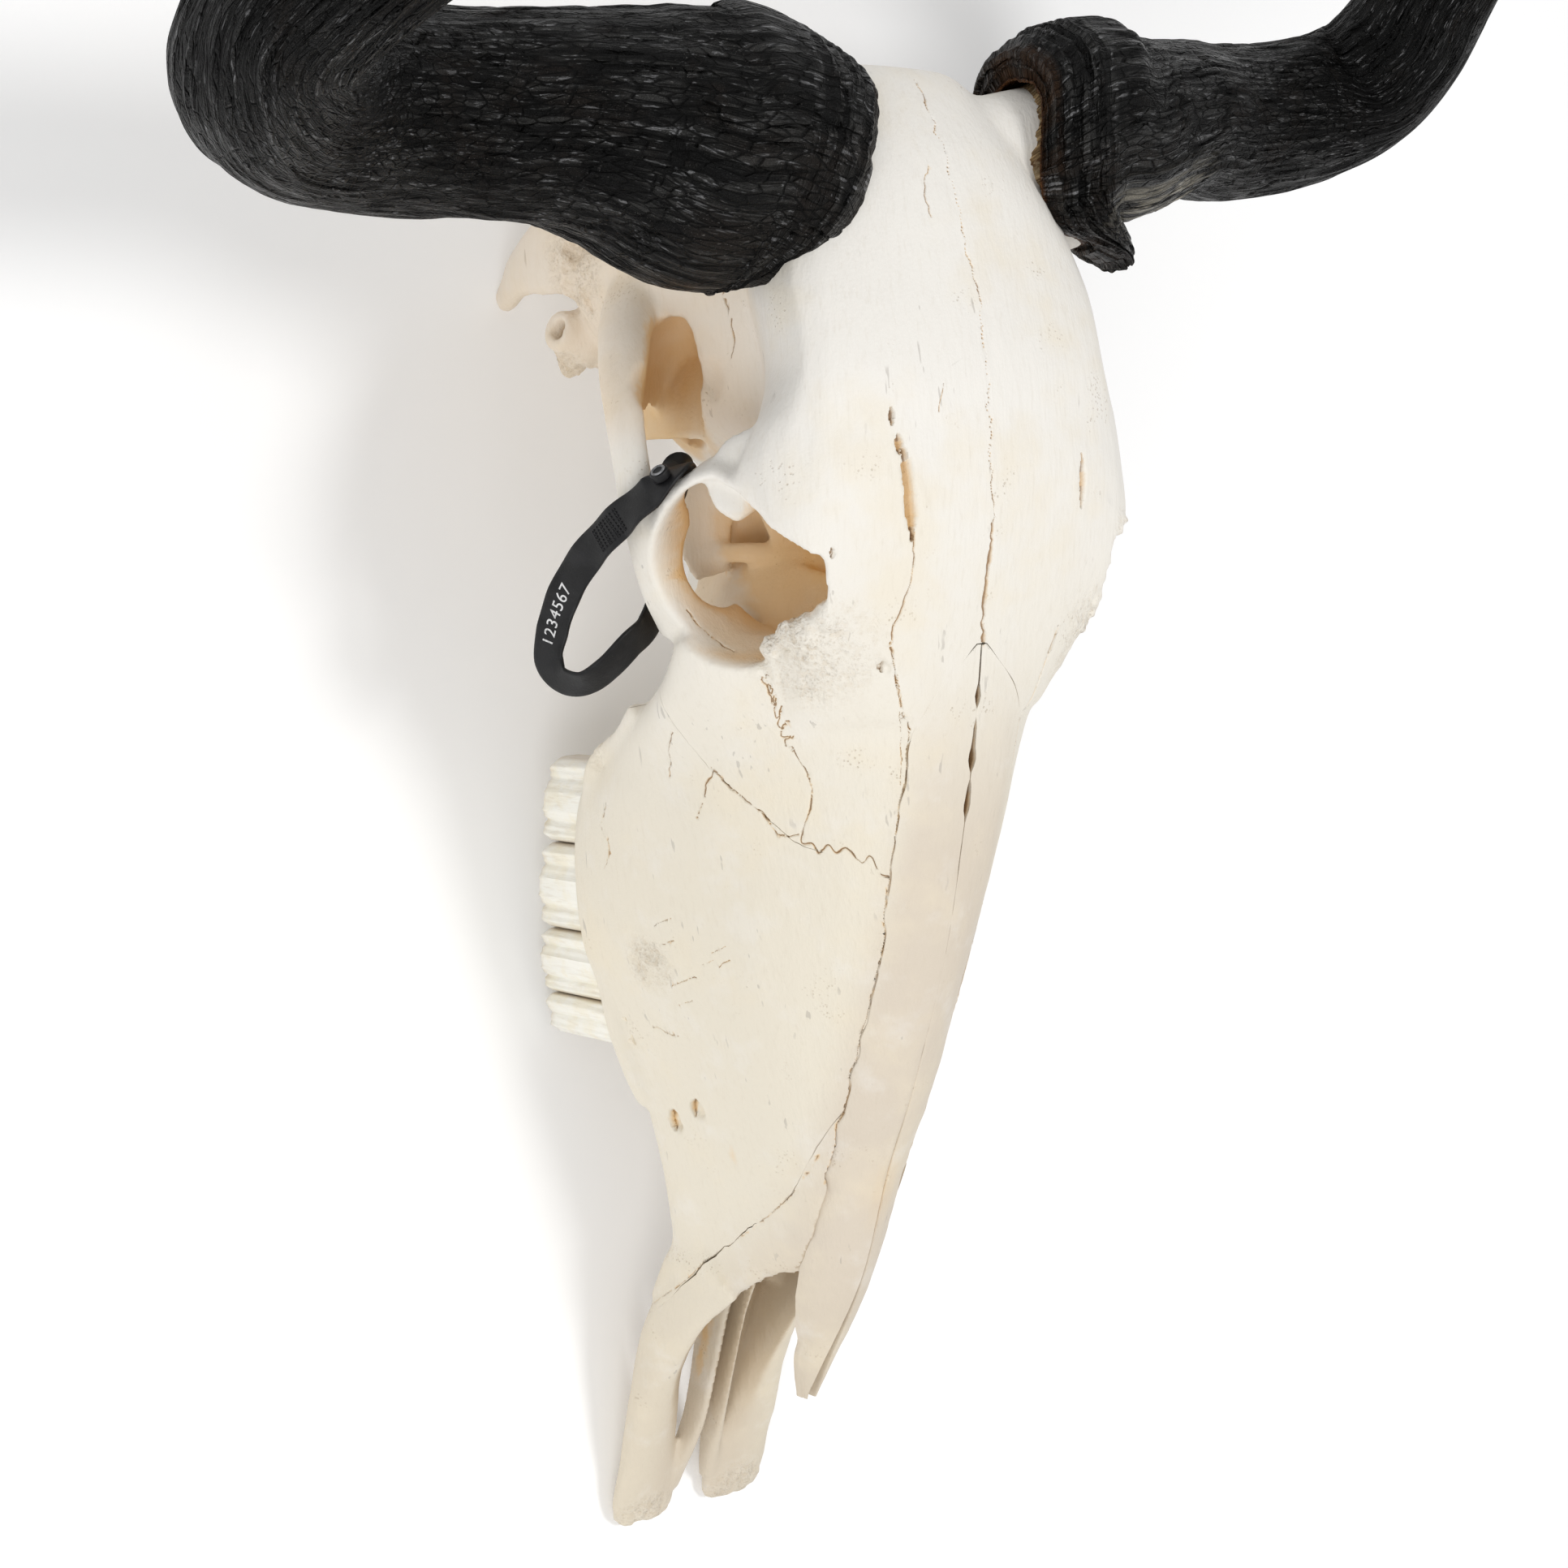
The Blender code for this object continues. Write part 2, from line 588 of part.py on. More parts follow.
def strap_lock():
    """The round lock that closes the strap, on its outer face just in front of the cheek bar."""
    centre, wide, out = strap_course()[-2]
    side = wide.cross(out)
    face = -out if out.x > 0 else out
    rings = []
    for height, radius in ((BONE_GAP, 4.2), (2.2, 4.2), (3, 3.2)):
        rings.append([centre + face * (STRAP_THICK / 2 + height) + (wide * math.cos(a) + side * math.sin(a)) * radius
                      for a in (2 * math.pi * k / 16 for k in range(16))])
    return loft("tag_lock", rings)


def stand(pieces):
    """Moves all the pieces together, so that they stand on Z = 0 with the middle of their box over the origin."""
    spots = [v.co for piece in pieces for v in piece.data.vertices]
    low = Vector([min(p[k] for p in spots) for k in range(3)])
    high = Vector([max(p[k] for p in spots) for k in range(3)])
    shift = Vector(((low.x + high.x) / 2, (low.y + high.y) / 2, low.z))
    for piece in pieces:
        piece.data.transform(Matrix.Translation(-shift))


def finish(made, look, name=None):
    if name:
        made.name = name
        made.data.name = name
    made.data.materials.clear()
    made.data.materials.append(material(*look))
    return made


HORN_SIDES = (("horn_left", 1, 0.92, math.radians(3.0), math.radians(14), -10, (4, 3, 0)),
              ("horn_right", -1, 1.0, math.radians(-2.0), math.radians(-11), 9, (0, 0, 0)))

skull = joined("skull", [muzzle(), skull_roof(), braincase(),
                         *both_sides(orbit_rim()),
                         *[side for piece in cheek_bars() + skull_base() + throat_plates() + [tuber()]
                           for side in both_sides(piece)]])
fuse(skull, SKULL_VOXEL, 4)
carve(skull, [side for tool in (orbit_tool(), *temple_tool(), *socket_doors(), undercut_tool(), fissure_tool())
              for side in both_sides(tool)] + [nose_tool(), throat_tool(), magnum_tool()])
fuse(skull, SKULL_VOXEL, 2)
thin_out(skull, SKULL_TRIANGLES)

for name, *lie in HORN_SIDES:
    carve(skull, [horn("bed", *lie, BONE_GAP)])
carve(skull, [nasal(BONE_GAP)])
premaxillae = combined(copy_of(skull, "premaxillae"), front_of(PREMAXILLA_SUTURE, 0), "INTERSECT")
upper_jaw = carve(copy_of(skull, "upper_jaw"), [front_of(PREMAXILLA_SUTURE, BONE_GAP)])
cranium = combined(copy_of(upper_jaw, "cranium"), rear_of(CHEEK_SUTURE, BONE_GAP), "INTERSECT")
combined(upper_jaw, front_of(CHEEK_SUTURE, 0), "INTERSECT")
bpy.data.objects.remove(skull, do_unlink=True)
for tooth in cheek_teeth():
    combined(upper_jaw, tooth, "UNION")
for name, low, high in (("premaxilla_left", BONE_GAP / 2, 90), ("premaxilla_right", -90, -BONE_GAP / 2)):
    block = loft("block", [[Vector((x, y, z)) for y, z in ((-400, -50), (0, -50), (0, 300), (-400, 300))]
                           for x in (low, high)])
    finish(combined(copy_of(premaxillae, name), block, "INTERSECT"), BONE, name)
bpy.data.objects.remove(premaxillae, do_unlink=True)
finish(cranium, BONE)
finish(upper_jaw, BONE)
nasal_left = finish(nasal(), BONE, "nasal_left")
finish(mirrored(nasal_left), BONE, "nasal_right")
for name, *lie in HORN_SIDES:
    finish(horn(name, *lie), HORN)
finish(strap_loop(), PLASTIC)
finish(strap_lock(), PLASTIC)
stand(list(bpy.data.objects))
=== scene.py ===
"""A wildebeest skull with its horn sheaths and a tag strap, lying on a pale table."""

import math

import bmesh
import bpy
import numpy as np
from mathutils import Matrix, Vector
from mathutils.bvhtree import BVHTree
from mathutils.kdtree import KDTree


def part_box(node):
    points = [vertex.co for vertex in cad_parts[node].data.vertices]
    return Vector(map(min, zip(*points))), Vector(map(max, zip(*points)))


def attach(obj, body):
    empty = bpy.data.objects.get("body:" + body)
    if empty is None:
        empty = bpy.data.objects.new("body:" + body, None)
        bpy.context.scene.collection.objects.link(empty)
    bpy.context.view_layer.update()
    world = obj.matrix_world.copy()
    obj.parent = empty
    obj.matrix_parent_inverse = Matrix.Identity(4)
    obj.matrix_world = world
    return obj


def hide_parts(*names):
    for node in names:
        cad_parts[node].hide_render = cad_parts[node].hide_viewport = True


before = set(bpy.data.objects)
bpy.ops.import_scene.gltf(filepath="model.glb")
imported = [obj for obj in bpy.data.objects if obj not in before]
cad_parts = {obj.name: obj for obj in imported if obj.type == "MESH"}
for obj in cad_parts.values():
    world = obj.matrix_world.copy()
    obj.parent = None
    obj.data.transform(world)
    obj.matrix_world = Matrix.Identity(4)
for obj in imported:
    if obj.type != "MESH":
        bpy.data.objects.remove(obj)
bpy.ops.object.select_all(action="DESELECT")
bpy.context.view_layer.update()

# The table: a white sheet, lit by a soft lamp overhead, a second one low over the nose and the studio all
# round. The camera looks down on the skull's right side from four fifths of a metre.
TABLE_SIZE = 9.0
TABLE_WHITE = (0.97, 0.97, 0.97, 1)
TABLE_GLOW = 0.08
MAIN_LAMP = ((0.5, 0.1, 2.2), 0.6, 15)
FILL_LAMP = ((-1.3, -0.9, 1.4), 1.4, 14)
LIT_PLACE = (0, 0, 0.1)
STUDIO_LIGHT = 0.56
CAMERA_PLACE = (-0.51818, 0.06836, 0.78523)
CAMERA_ACROSS = Vector((0.7944, -0.0504, 0.6053))
CAMERA_UP = Vector((0.1032, 0.9933, -0.0529))
CAMERA_LENS = 59.63

bpy.ops.mesh.primitive_plane_add(size=TABLE_SIZE)
table = bpy.context.object
table.name = "table"
sheet = bpy.data.materials.new("white_sheet")
sheet.use_nodes = True
for key, value in (("Base Color", TABLE_WHITE), ("Roughness", 0.9), ("Emission Color", (1, 1, 1, 1)),
                   ("Emission Strength", TABLE_GLOW)):
    sheet.node_tree.nodes["Principled BSDF"].inputs[key].default_value = value
table.data.materials.append(sheet)

ACROSS = CAMERA_ACROSS.normalized()
UP = (CAMERA_UP - ACROSS * CAMERA_UP.dot(ACROSS)).normalized()
bpy.ops.object.camera_add(location=CAMERA_PLACE)
camera = bpy.context.object
camera.rotation_euler = Matrix((ACROSS, UP, ACROSS.cross(UP))).transposed().to_euler()
camera.data.lens = CAMERA_LENS
camera.data.sensor_width = 36.0
camera.data.clip_start = 0.01
bpy.context.scene.camera = camera


def soft_lamp(name, place, size, watts):
    """A round lamp of that size, turned to the skull."""
    bpy.ops.object.light_add(type="AREA", location=place)
    lamp = bpy.context.object
    lamp.name = name
    lamp.data.shape = "DISK"
    lamp.data.size = size
    lamp.data.energy = watts
    lamp.rotation_euler = (Vector(LIT_PLACE) - Vector(place)).to_track_quat("-Z", "Y").to_euler()


soft_lamp("main_lamp", *MAIN_LAMP)
soft_lamp("fill_lamp", *FILL_LAMP)
sky = bpy.data.worlds.new("studio")
sky.use_nodes = True
sky.node_tree.nodes["Background"].inputs["Color"].default_value = (1, 1, 1, 1)
sky.node_tree.nodes["Background"].inputs["Strength"].default_value = STUDIO_LIGHT
bpy.context.scene.world = sky
bpy.context.scene.view_settings.view_transform = "Standard"

# The bone blank: the whole skull as one body, before it is parted along its sutures. Bone grows as one skin
# over many curved plates, so it is skinned over cross sections in millimetres and melted together, as clay
# would be. X is across the skull, the nose points to -Y, and the floor is Z = 0.
MM = 0.001
FOREHEAD_Z = 199.0
OCCIPUT_Y = 214.0
NASAL_TIP_Y = -221.0
NASAL_REAR_Y = 42.0
ORBIT_CENTRE = (70.0, 67.0, 163.5)
ORBIT_RADIUS = 29.5
ORBIT_FACING = (0.90, -0.32, 0.28)
HALF_SLIT = 0.2
SETTLED = 0.25
BLANK_VOXEL = 1.3
HOLLOW_VOXEL = 1.0
RING_POINTS = 44
nasal_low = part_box("nasal_left")[0]
PLACE = Vector((nasal_low.x / MM - HALF_SLIT, nasal_low.y / MM - NASAL_TIP_Y, -SETTLED))


def catmull(before, start, end, after, t):
    """One point of the smooth curve through four, between start and end."""
    return 0.5 * (2 * start + (end - before) * t
                  + (2 * before - 5 * start + 4 * end - after) * t * t
                  + (3 * start - before - 3 * end + after) * t * t * t)


def smooth_line(points, steps):
    """An open smooth curve through the points, with steps intervals between each two."""
    points = [Vector(p) for p in points]
    line = []
    for i in range(len(points) - 1):
        before = points[i - 1] if i else 2 * points[0] - points[1]
        after = points[i + 2] if i + 2 < len(points) else 2 * points[-1] - points[-2]
        line += [catmull(before, points[i], points[i + 1], after, k / steps) for k in range(steps)]
    return line + [points[-1]]


def smooth_ring(points, count):
    """A closed smooth curve through the points, with count points spaced evenly along it."""
    points = [Vector(p) for p in points]
    n = len(points)
    dense = []
    for i in range(n):
        quad = [points[(i + k) % n] for k in (-1, 0, 1, 2)]
        dense += [catmull(*quad, k / 12) for k in range(12)]
    lengths = [0.0]
    for a, b in zip(dense, dense[1:] + dense[:1]):
        lengths.append(lengths[-1] + (b - a).length)
    ring = []
    place = 0
    for k in range(count):
        want = lengths[-1] * k / count
        while lengths[place + 1] < want:
            place += 1
        part = (want - lengths[place]) / max(lengths[place + 1] - lengths[place], 1e-9)
        ring.append(dense[place].lerp(dense[(place + 1) % len(dense)], part))
    return ring


def mesh_object(name, points, faces):
    mesh = bpy.data.meshes.new(name)
    mesh.from_pydata([Vector(p) for p in points], [], faces)
    shape = bmesh.new()
    shape.from_mesh(mesh)
    bmesh.ops.recalc_face_normals(shape, faces=shape.faces)
    shape.to_mesh(mesh)
    shape.free()
    made = bpy.data.objects.new(name, mesh)
    bpy.context.scene.collection.objects.link(made)
    return made


def loft(name, rings, closed=False):
    """A skin over rings of equal count, capped at both ends unless it closes on itself."""
    count = len(rings[0])
    points = [p for ring in rings for p in ring]
    faces = []
    for r in range(len(rings) if closed else len(rings) - 1):
        here, there = r * count, (r + 1) % len(rings) * count
        faces += [(here + k, here + (k + 1) % count, there + (k + 1) % count, there + k)
                  for k in range(count)]
    if not closed:
        faces += [tuple(range(count)), tuple((len(rings) - 1) * count + k for k in range(count))]
    return mesh_object(name, points, faces)


def lengthwise(name, stations, count=RING_POINTS):
    """A body along Y, symmetric in X. Each station is (y, half outline), the outline running from the top
    middle, round the +X side, to the bottom middle as (x, z) pairs."""
    width = len(stations[0][1])
    tracks = [smooth_line([(s[1][k][0], s[0], s[1][k][1]) for s in stations], 5) for k in range(width)]
    rings = []
    for i in range(len(tracks[0])):
        half = [track[i] for track in tracks]
        other = [Vector((-p.x, p.y, p.z)) for p in reversed(half[1:-1])]
        rings.append(smooth_ring(half + other, count))
    return loft(name, rings)


def tube(name, stations, count=24, roll=(0, 0, 1)):
    """A bar along stations (x, y, z, half width, half depth); its depth lies nearest to the roll
    direction."""
    line = smooth_line([s[:3] for s in stations], 6)
    sizes = smooth_line([(s[3], s[4], 0) for s in stations], 6)
    rings = []
    for i, (centre, size) in enumerate(zip(line, sizes)):
        along = (line[min(i + 1, len(line) - 1)] - line[max(i - 1, 0)]).normalized()
        side = along.cross(Vector(roll)).normalized()
        deep = side.cross(along)
        rings.append([centre + side * size.x * math.cos(a) + deep * size.y * math.sin(a)
                      for a in (2 * math.pi * k / count for k in range(count))])
    return loft(name, rings)


def ball(name, centre, radii, turn=(0, 0, 0)):
    """A sphere stretched to an egg and turned, its place in its mesh."""
    bpy.ops.mesh.primitive_uv_sphere_add(segments=32, ring_count=20, radius=1, location=centre,
                                         rotation=turn,
                                         scale=radii)
    bpy.ops.object.transform_apply(location=True, rotation=True, scale=True)
    bpy.context.object.name = name
    return bpy.context.object


def mirrored(made):
    """A second object, reflected to the other side of the skull, facing out."""
    twin = bpy.data.objects.new(made.name + "_twin", made.data.copy())
    shape = bmesh.new()
    shape.from_mesh(twin.data)
    for v in shape.verts:
        v.co.x = -v.co.x
    bmesh.ops.reverse_faces(shape, faces=shape.faces)
    shape.to_mesh(twin.data)
    shape.free()
    bpy.context.scene.collection.objects.link(twin)
    return twin


def both_sides(pieces):
    return [side for piece in pieces for side in (piece, mirrored(piece))]


def flipped(made):
    """The object's reflection, in its place."""
    twin = mirrored(made)
    bpy.data.objects.remove(made, do_unlink=True)
    return twin


def only(made):
    """Selects one object and makes it active."""
    bpy.ops.object.select_all(action="DESELECT")
    made.select_set(True)
    bpy.context.view_layer.objects.active = made
    return made


def applied(made):
    """Applies the object's modifiers, first to last."""
    only(made)
    for modifier in list(made.modifiers):
        bpy.ops.object.modifier_apply(modifier=modifier.name)
    return made


def joined(name, pieces):
    """All the pieces as one object, still loose inside each other."""
    only(pieces[0])
    for piece in pieces[1:]:
        piece.select_set(True)
    bpy.ops.object.join()
    bpy.context.object.name = name
    return bpy.context.object


def fused(made, voxel, rounds):
    """Melts overlapping pieces into one skin and softens it."""
    grid = made.modifiers.new("grid", "REMESH")
    grid.mode = "VOXEL"
    grid.voxel_size = voxel
    soften = made.modifiers.new("soften", "SMOOTH")
    soften.iterations = rounds
    soften.factor = 0.5
    return applied(made)


def combined(made, tools, how="DIFFERENCE"):
    """Cuts the tools out of the object, joins them to it or keeps what they share, and uses them up."""
    for tool in tools:
        step = made.modifiers.new("step", "BOOLEAN")
        step.operation = how
        step.object = tool
        step.solver = "MANIFOLD"
        applied(made)
        bpy.data.objects.remove(tool, do_unlink=True)
    return made


def track(*places):
    """A smooth function of y through (y, value) places."""
    line = smooth_line([(y, value, 0) for y, value in places], 12)

    def value_at(y):
        for a, b in zip(line, line[1:]):
            if y <= b.x:
                break
        return a.y + (b.y - a.y) * (y - a.x) / (b.x - a.x)
    return value_at


# The nose and cheeks: maxillae, lacrimals, palatines and premaxillae, thin bone plates round the nasal
# passage.
crown = track((-222, 86), (-208, 95), (-172, 118), (-131, 135), (-99, 151), (-57, 168), (-10, 181),
              (28, 189),
              (65, 196), (89, FOREHEAD_Z), (137, 198), (162, 192), (196, 184), (OCCIPUT_Y, 172))
nasal_half = track((-222, 2.5), (-208, 7), (-190, 11.5), (-165, 15.5), (-110, 18), (-60, 19), (-30, 21),
                   (25, 22), (60, 16))
nasal_drop = track((-222, 2), (-208, 6), (-190, 10), (-165, 14), (-110, 11), (-60, 9), (-30, 7), (25, 4),
                   (60, 2))


def roofed(y, *rest):
    """A station of the muzzle whose first two places come from the roof of the nose."""
    return (y, [(0, crown(y)), (nasal_half(y), crown(y) - nasal_drop(y)), *rest])


muzzle = lengthwise("muzzle", [
    (-192, [(0, 60), (13, 60), (22, 58), (28, 45), (27, 28), (18, 26), (0, 27)]),
    (-177, [(0, 84), (13, 84), (20, 80), (27, 58), (26, 37), (17, 35), (0, 36)]),
    roofed(-162, (22, 86), (27, 62), (26, 43), (17, 43), (0, 48)),
    roofed(-110, (33, 106), (39, 72), (37, 46), (27, 47), (0, 58)),
    roofed(-60, (42, 124), (54, 78), (54, 40), (38, 42), (0, 60)),
    roofed(-15, (46, 140), (60, 96), (56, 44), (38, 46), (0, 64)),
    roofed(8, (47, 152), (63, 108), (53, 58), (36, 52), (0, 70)),
    roofed(30, (52, 164), (72, 128), (54, 96), (30, 80), (0, 82)),
    roofed(48, (58, 172), (76, 140), (54, 120), (24, 92), (0, 90)),
], count=60)
tooth_margin = tube("tooth_margin", [(45, 3, 60, 8, 9), (47, -22, 55, 8, 9), (47, -52, 51, 8, 9),
                                     (44, -80, 48, 7, 8), (40, -100, 48, 5.5, 7), (35, -116, 49, 4, 6)])
last_molar_root = ball("last_molar_root", (43, -10, 62), (13, 26, 24))
TOWARDS = (-0.6, -0.1, -0.79)
last_molar_plate = tube("last_molar_plate", [(53, -14, 53, 5, 4), (53.5, -2, 56, 6, 4), (54, 6, 63, 6, 3.5),
                                             (54.5, 12, 76, 6, 3.5), (57, 23, 91, 6, 3.5)], roll=TOWARDS)

# The skull roof: frontal and parietal bones, which spread over the eye sockets and draw in again behind
# them.
skull_roof = lengthwise("skull_roof", [
    (20, [(0, crown(20)), (26, 183), (48, 162), (44, 148), (0, 132)]),
    (50, [(0, crown(50)), (42, 189), (58, 181), (52, 166), (0, 120)]),
    (66, [(0, crown(66)), (50, 192), (63, 187), (56, 172), (0, 110)]),
    (79, [(0, crown(79)), (54, 193), (70, 184), (61, 168), (0, 104)]),
    (94, [(0, crown(94)), (54, 194), (74, 176), (64, 160), (0, 100)]),
    (108, [(0, crown(108)), (54, 193), (70, 176), (54, 156), (0, 100)]),
    (127, [(0, crown(127)), (53, 192), (60, 178), (46, 150), (0, 100)]),
    (155, [(0, crown(155)), (48, 187), (59, 174), (46, 142), (0, 100)]),
    (190, [(0, crown(190)), (34, 181), (46, 164), (44, 135), (0, 100)]),
    (OCCIPUT_Y, [(0, crown(OCCIPUT_Y)), (22, 168), (34, 150), (32, 130), (0, 110)]),
    (OCCIPUT_Y + 5, [(0, 162), (12, 160), (20, 148), (18, 136), (0, 126)]),
])

# The braincase: temporal, sphenoid and occipital bones, down to the base of the skull, with the ear region,
# the two long processes beside the neck joint, and the condyles that turn on the first neck bone.
braincase = lengthwise("braincase", [
    (30, [(0, 170), (26, 150), (22, 104), (14, 84), (0, 82)]),
    (62, [(0, 175), (22, 150), (20, 110), (15, 86), (0, 84)]),
    (92, [(0, 175), (26, 150), (28, 114), (18, 84), (0, 80)]),
    (112, [(0, 175), (40, 150), (48, 112), (26, 70), (0, 66)]),
    (130, [(0, 175), (46, 150), (54, 100), (34, 62), (0, 56)]),
    (148, [(0, 175), (48, 150), (56, 94), (44, 54), (0, 50)]),
    (168, [(0, 175), (50, 150), (60, 90), (48, 50), (0, 46)]),
    (186, [(0, 172), (50, 150), (52, 98), (34, 56), (0, 46)]),
    (202, [(0, 165), (42, 145), (42, 104), (24, 72), (0, 68)]),
    (211, [(0, 150), (28, 140), (26, 116), (16, 98), (0, 94)]),
])
ear_bulb = ball("ear_bulb", (44, 146, 46), (9, 10, 12))
ear_tip = ball("ear_tip", (43, 138, 38), (4.5, 5, 6), (0.4, 0, 0))
ear_ridge = tube("ear_ridge", [(57, 181, 80, 2, 4), (58, 177, 67, 2.2, 5), (57, 167, 62, 2.5, 5),
                               (53, 160, 56, 3, 4)],
                 roll=(1, 0, 0))
ear_tube = tube("ear_tube", [(30, 142, 52, 8, 8), (45, 146, 47, 8, 8), (55, 149, 48, 7, 7)])
neck_process = tube("neck_process", [(50, 174, 64, 6, 15), (52, 174, 42, 4, 14), (50, 170, 20, 3.5, 9),
                                     (47, 164, 7, 3.5, 5.5), (46, 162, 1, 3.2, 4)], roll=(0, 1, 0))
condyle = ball("condyle", (21, 194, 46), (13, 15, 20), (0.3, 0, 0))
throat_plate = tube("throat_plate", [(24, 4, 68, 5, 15), (20, 36, 74, 3, 18), (17, 66, 78, 2.5, 16),
                                     (17, 92, 78, 3, 12)])

# The cheek bone: a raised ring round the eye, and the zygomatic arch that runs back from it to the ear.
FACING = Vector(ORBIT_FACING).normalized()
RIM_UP = (Vector((0, 0, 1)) - FACING * FACING.z).normalized()
RIM_ALONG = FACING.cross(RIM_UP)
BROW_TURN = math.radians(-45)


def rim_place(turn, radius, depth):
    """A place round the eye: turn from the top of the rim, radius from its axis, depth below its plane."""
    return Vector(ORBIT_CENTRE) - FACING * depth + (RIM_UP * math.cos(turn)
                                                    + RIM_ALONG * math.sin(turn)) * radius


def turns(count):
    return [2 * math.pi * k / count for k in range(count)]


def brow_cut(a):
    """The share of the full radius at one turn: the brow runs straight across the round, above and
    behind."""
    return min(1, 0.73 / max(math.cos(a - BROW_TURN), 0.01))


def rim_ring(a):
    """The rim's section at one turn: a thick wall below and behind the eye, sunk flush into the brow above
    it."""
    low = 0.5 - 0.5 * math.cos(a - 0.25)
    return [rim_place(a, ORBIT_RADIUS * brow_cut(a) + 1.2 + (1.5 + 2.5 * low) * math.cos(b),
                      17 - 5 * low - (11 + 3 * low) * math.sin(b)) for b in turns(16)]


eye_rim = loft("eye_rim", [rim_ring(a) for a in turns(60)], closed=True)
cheek_arch = tube("cheek_arch", [(66, 50, 128, 6, 9), (76, 66, 130, 5, 8), (81.5, 82, 131, 4.2, 7.2),
                                 (82, 97, 129, 4.2, 7.4), (79.5, 116, 122.5, 4.6, 7.8),
                                 (70, 137, 110, 7, 9.5), (58, 152, 98, 8, 11), (46, 160, 90, 9, 12)])
horn_core = tube("horn_core", [(20, 184, 158, 26, 19), (50, 188, 163, 27, 19), (74, 191, 164, 26, 18),
                               (92, 194, 161, 18, 14)], roll=(0, -0.35, 0.94))
arch_root = tube("arch_root", [(40, 124, 100, 15, 9), (58, 126, 103, 13, 7), (72, 128, 112, 9, 6)])

blank = joined("blank", [muzzle, skull_roof, braincase] + both_sides((
    tooth_margin, last_molar_root, last_molar_plate, ear_bulb, ear_tip, ear_ridge, ear_tube, neck_process,
    condyle, throat_plate, eye_rim, cheek_arch, horn_core, arch_root)))
fused(blank, BLANK_VOXEL, 8)
skin = BVHTree.FromObject(blank, bpy.context.evaluated_depsgraph_get())

# The hollows: eye sockets, the temples behind them, the gaps they open into, the nose, the throat and the
# opening for the spinal cord.
socket = loft("socket", [[rim_place(a, radius * brow_cut(a), depth) + Vector((0, back, -back * 0.3))
                          for a in turns(72)]
                         for depth, radius, back in ((-30, 40, 0), (-8, 31, 0), (0, ORBIT_RADIUS, 0),
                                                     (14, 27.5, 1), (28, 24, 3), (38, 18, 6), (44, 8, 9))])
temple_bowl = tube("temple_bowl", [(104, 134, 170, 17, 12), (84, 130, 152, 17, 14), (66, 126, 134, 15, 14),
                                   (58, 120, 124, 10, 10)], roll=(0, 1, 0))
temple_floor = tube("temple_floor", [(70, 106, 152, 16, 12), (63, 100, 130, 15, 13), (56, 92, 100, 20, 14),
                                     (56, 86, 60, 26, 18), (58, 84, 30, 30, 20)], roll=(1, 0, 0))
temple_hood = tube("temple_hood", [(53.4, 147, 116, 3, 8), (53.4, 141, 115, 8.5, 14),
                                   (53, 129.4, 112, 10.5, 18), (52.4, 117.4, 109, 11, 19),
                                   (51.4, 105, 106, 11, 19)], roll=TOWARDS, count=32)
rear_door = tube("rear_door", [(54, 78, 142, 13, 13), (57, 94, 142, 13, 13), (61, 113, 145, 12, 12)])
floor_door = tube("floor_door", [(56, 76, 148, 13, 16), (54, 70, 122, 13, 16), (52, 64, 96, 13, 15)],
                  roll=(0, 1, 0))
undercut = tube("undercut", [(60, 34, 66, 16, 16), (54, 58, 94, 16, 20), (48, 84, 98, 16, 20)],
                roll=(1, 0, 0))
fissure = tube("fissure", [(11, -215, 22, 3.6, 16), (11, -200, 30, 3.8, 16), (10.5, -184, 42, 3, 16)])
nose_hollow = lengthwise("nose_hollow", [
    (-300, [(0, 60), (16, 58), (30, 40), (26, 15), (0, 15)]),
    (-262, [(0, 60), (16, 56), (27, 34), (20, 16), (0, 15)]),
    (-245, [(0, 70), (14, 66), (24, 44), (21, 21), (0, 17)]),
    (-218, [(0, 80), (12, 78), (22, 54), (20, 28), (0, 25)]),
    (-192, [(0, 98), (9, 95), (18, 75), (20, 50), (0, 38)]),
    (-162, [(0, 116), (12, 105), (18, 84), (21, 62), (0, 52)]),
    (-132, [(0, 129), (14, 119), (24, 98), (27, 74), (0, 60)]),
    (-95, [(0, 146), (15, 136), (28, 112), (31, 86), (0, 70)]),
    (-60, [(0, 156), (13, 148), (22, 128), (20, 100), (0, 84)]),
    (-35, [(0, 150), (5, 146), (8, 134), (6, 118), (0, 112)]),
])
throat = tube("throat", [(0, 96, 40, 13, 14), (0, 70, 62, 13, 16), (0, 34, 72, 14, 12), (0, 0, 80, 12, 8)])
spine_hole = tube("spine_hole", [(0, 225, 70, 15, 14), (0, 200, 72, 15, 14), (0, 178, 78, 17, 16),
                                 (0, 166, 84, 8, 8)])
foramina = [ball("foramen", place, (7, long, high), (0, 0, -0.5)) for place, long, high in (
    ((-35, 38, 186), 1.7, 1.7), ((-38, -119, 66), 4.0, 2.3), ((-39, -113, 80), 3.2, 2.4),
    ((-57, 156, 69), 2.6, 2.4), ((38, -119, 66), 4.0, 2.3), ((39, -113, 80), 3.2, 2.4),
    ((57, 156, 69), 2.6, 2.4))]
foramina.append(ball("foramen", (12, -275, 8), (1.6, 1.6, 5)))
ear_hole = tube("ear_hole", [(40, 143, 50, 3, 3), (52, 148, 48.5, 3.4, 3.4), (64, 153, 48, 4.2, 4.2)])
hollows = joined("hollows", foramina + both_sides((
    socket, ear_hole, temple_bowl, temple_floor, temple_hood, rear_door, floor_door, undercut, fissure))
    + [nose_hollow, throat, spine_hole])
combined(blank, [fused(hollows, HOLLOW_VOXEL, 0)])

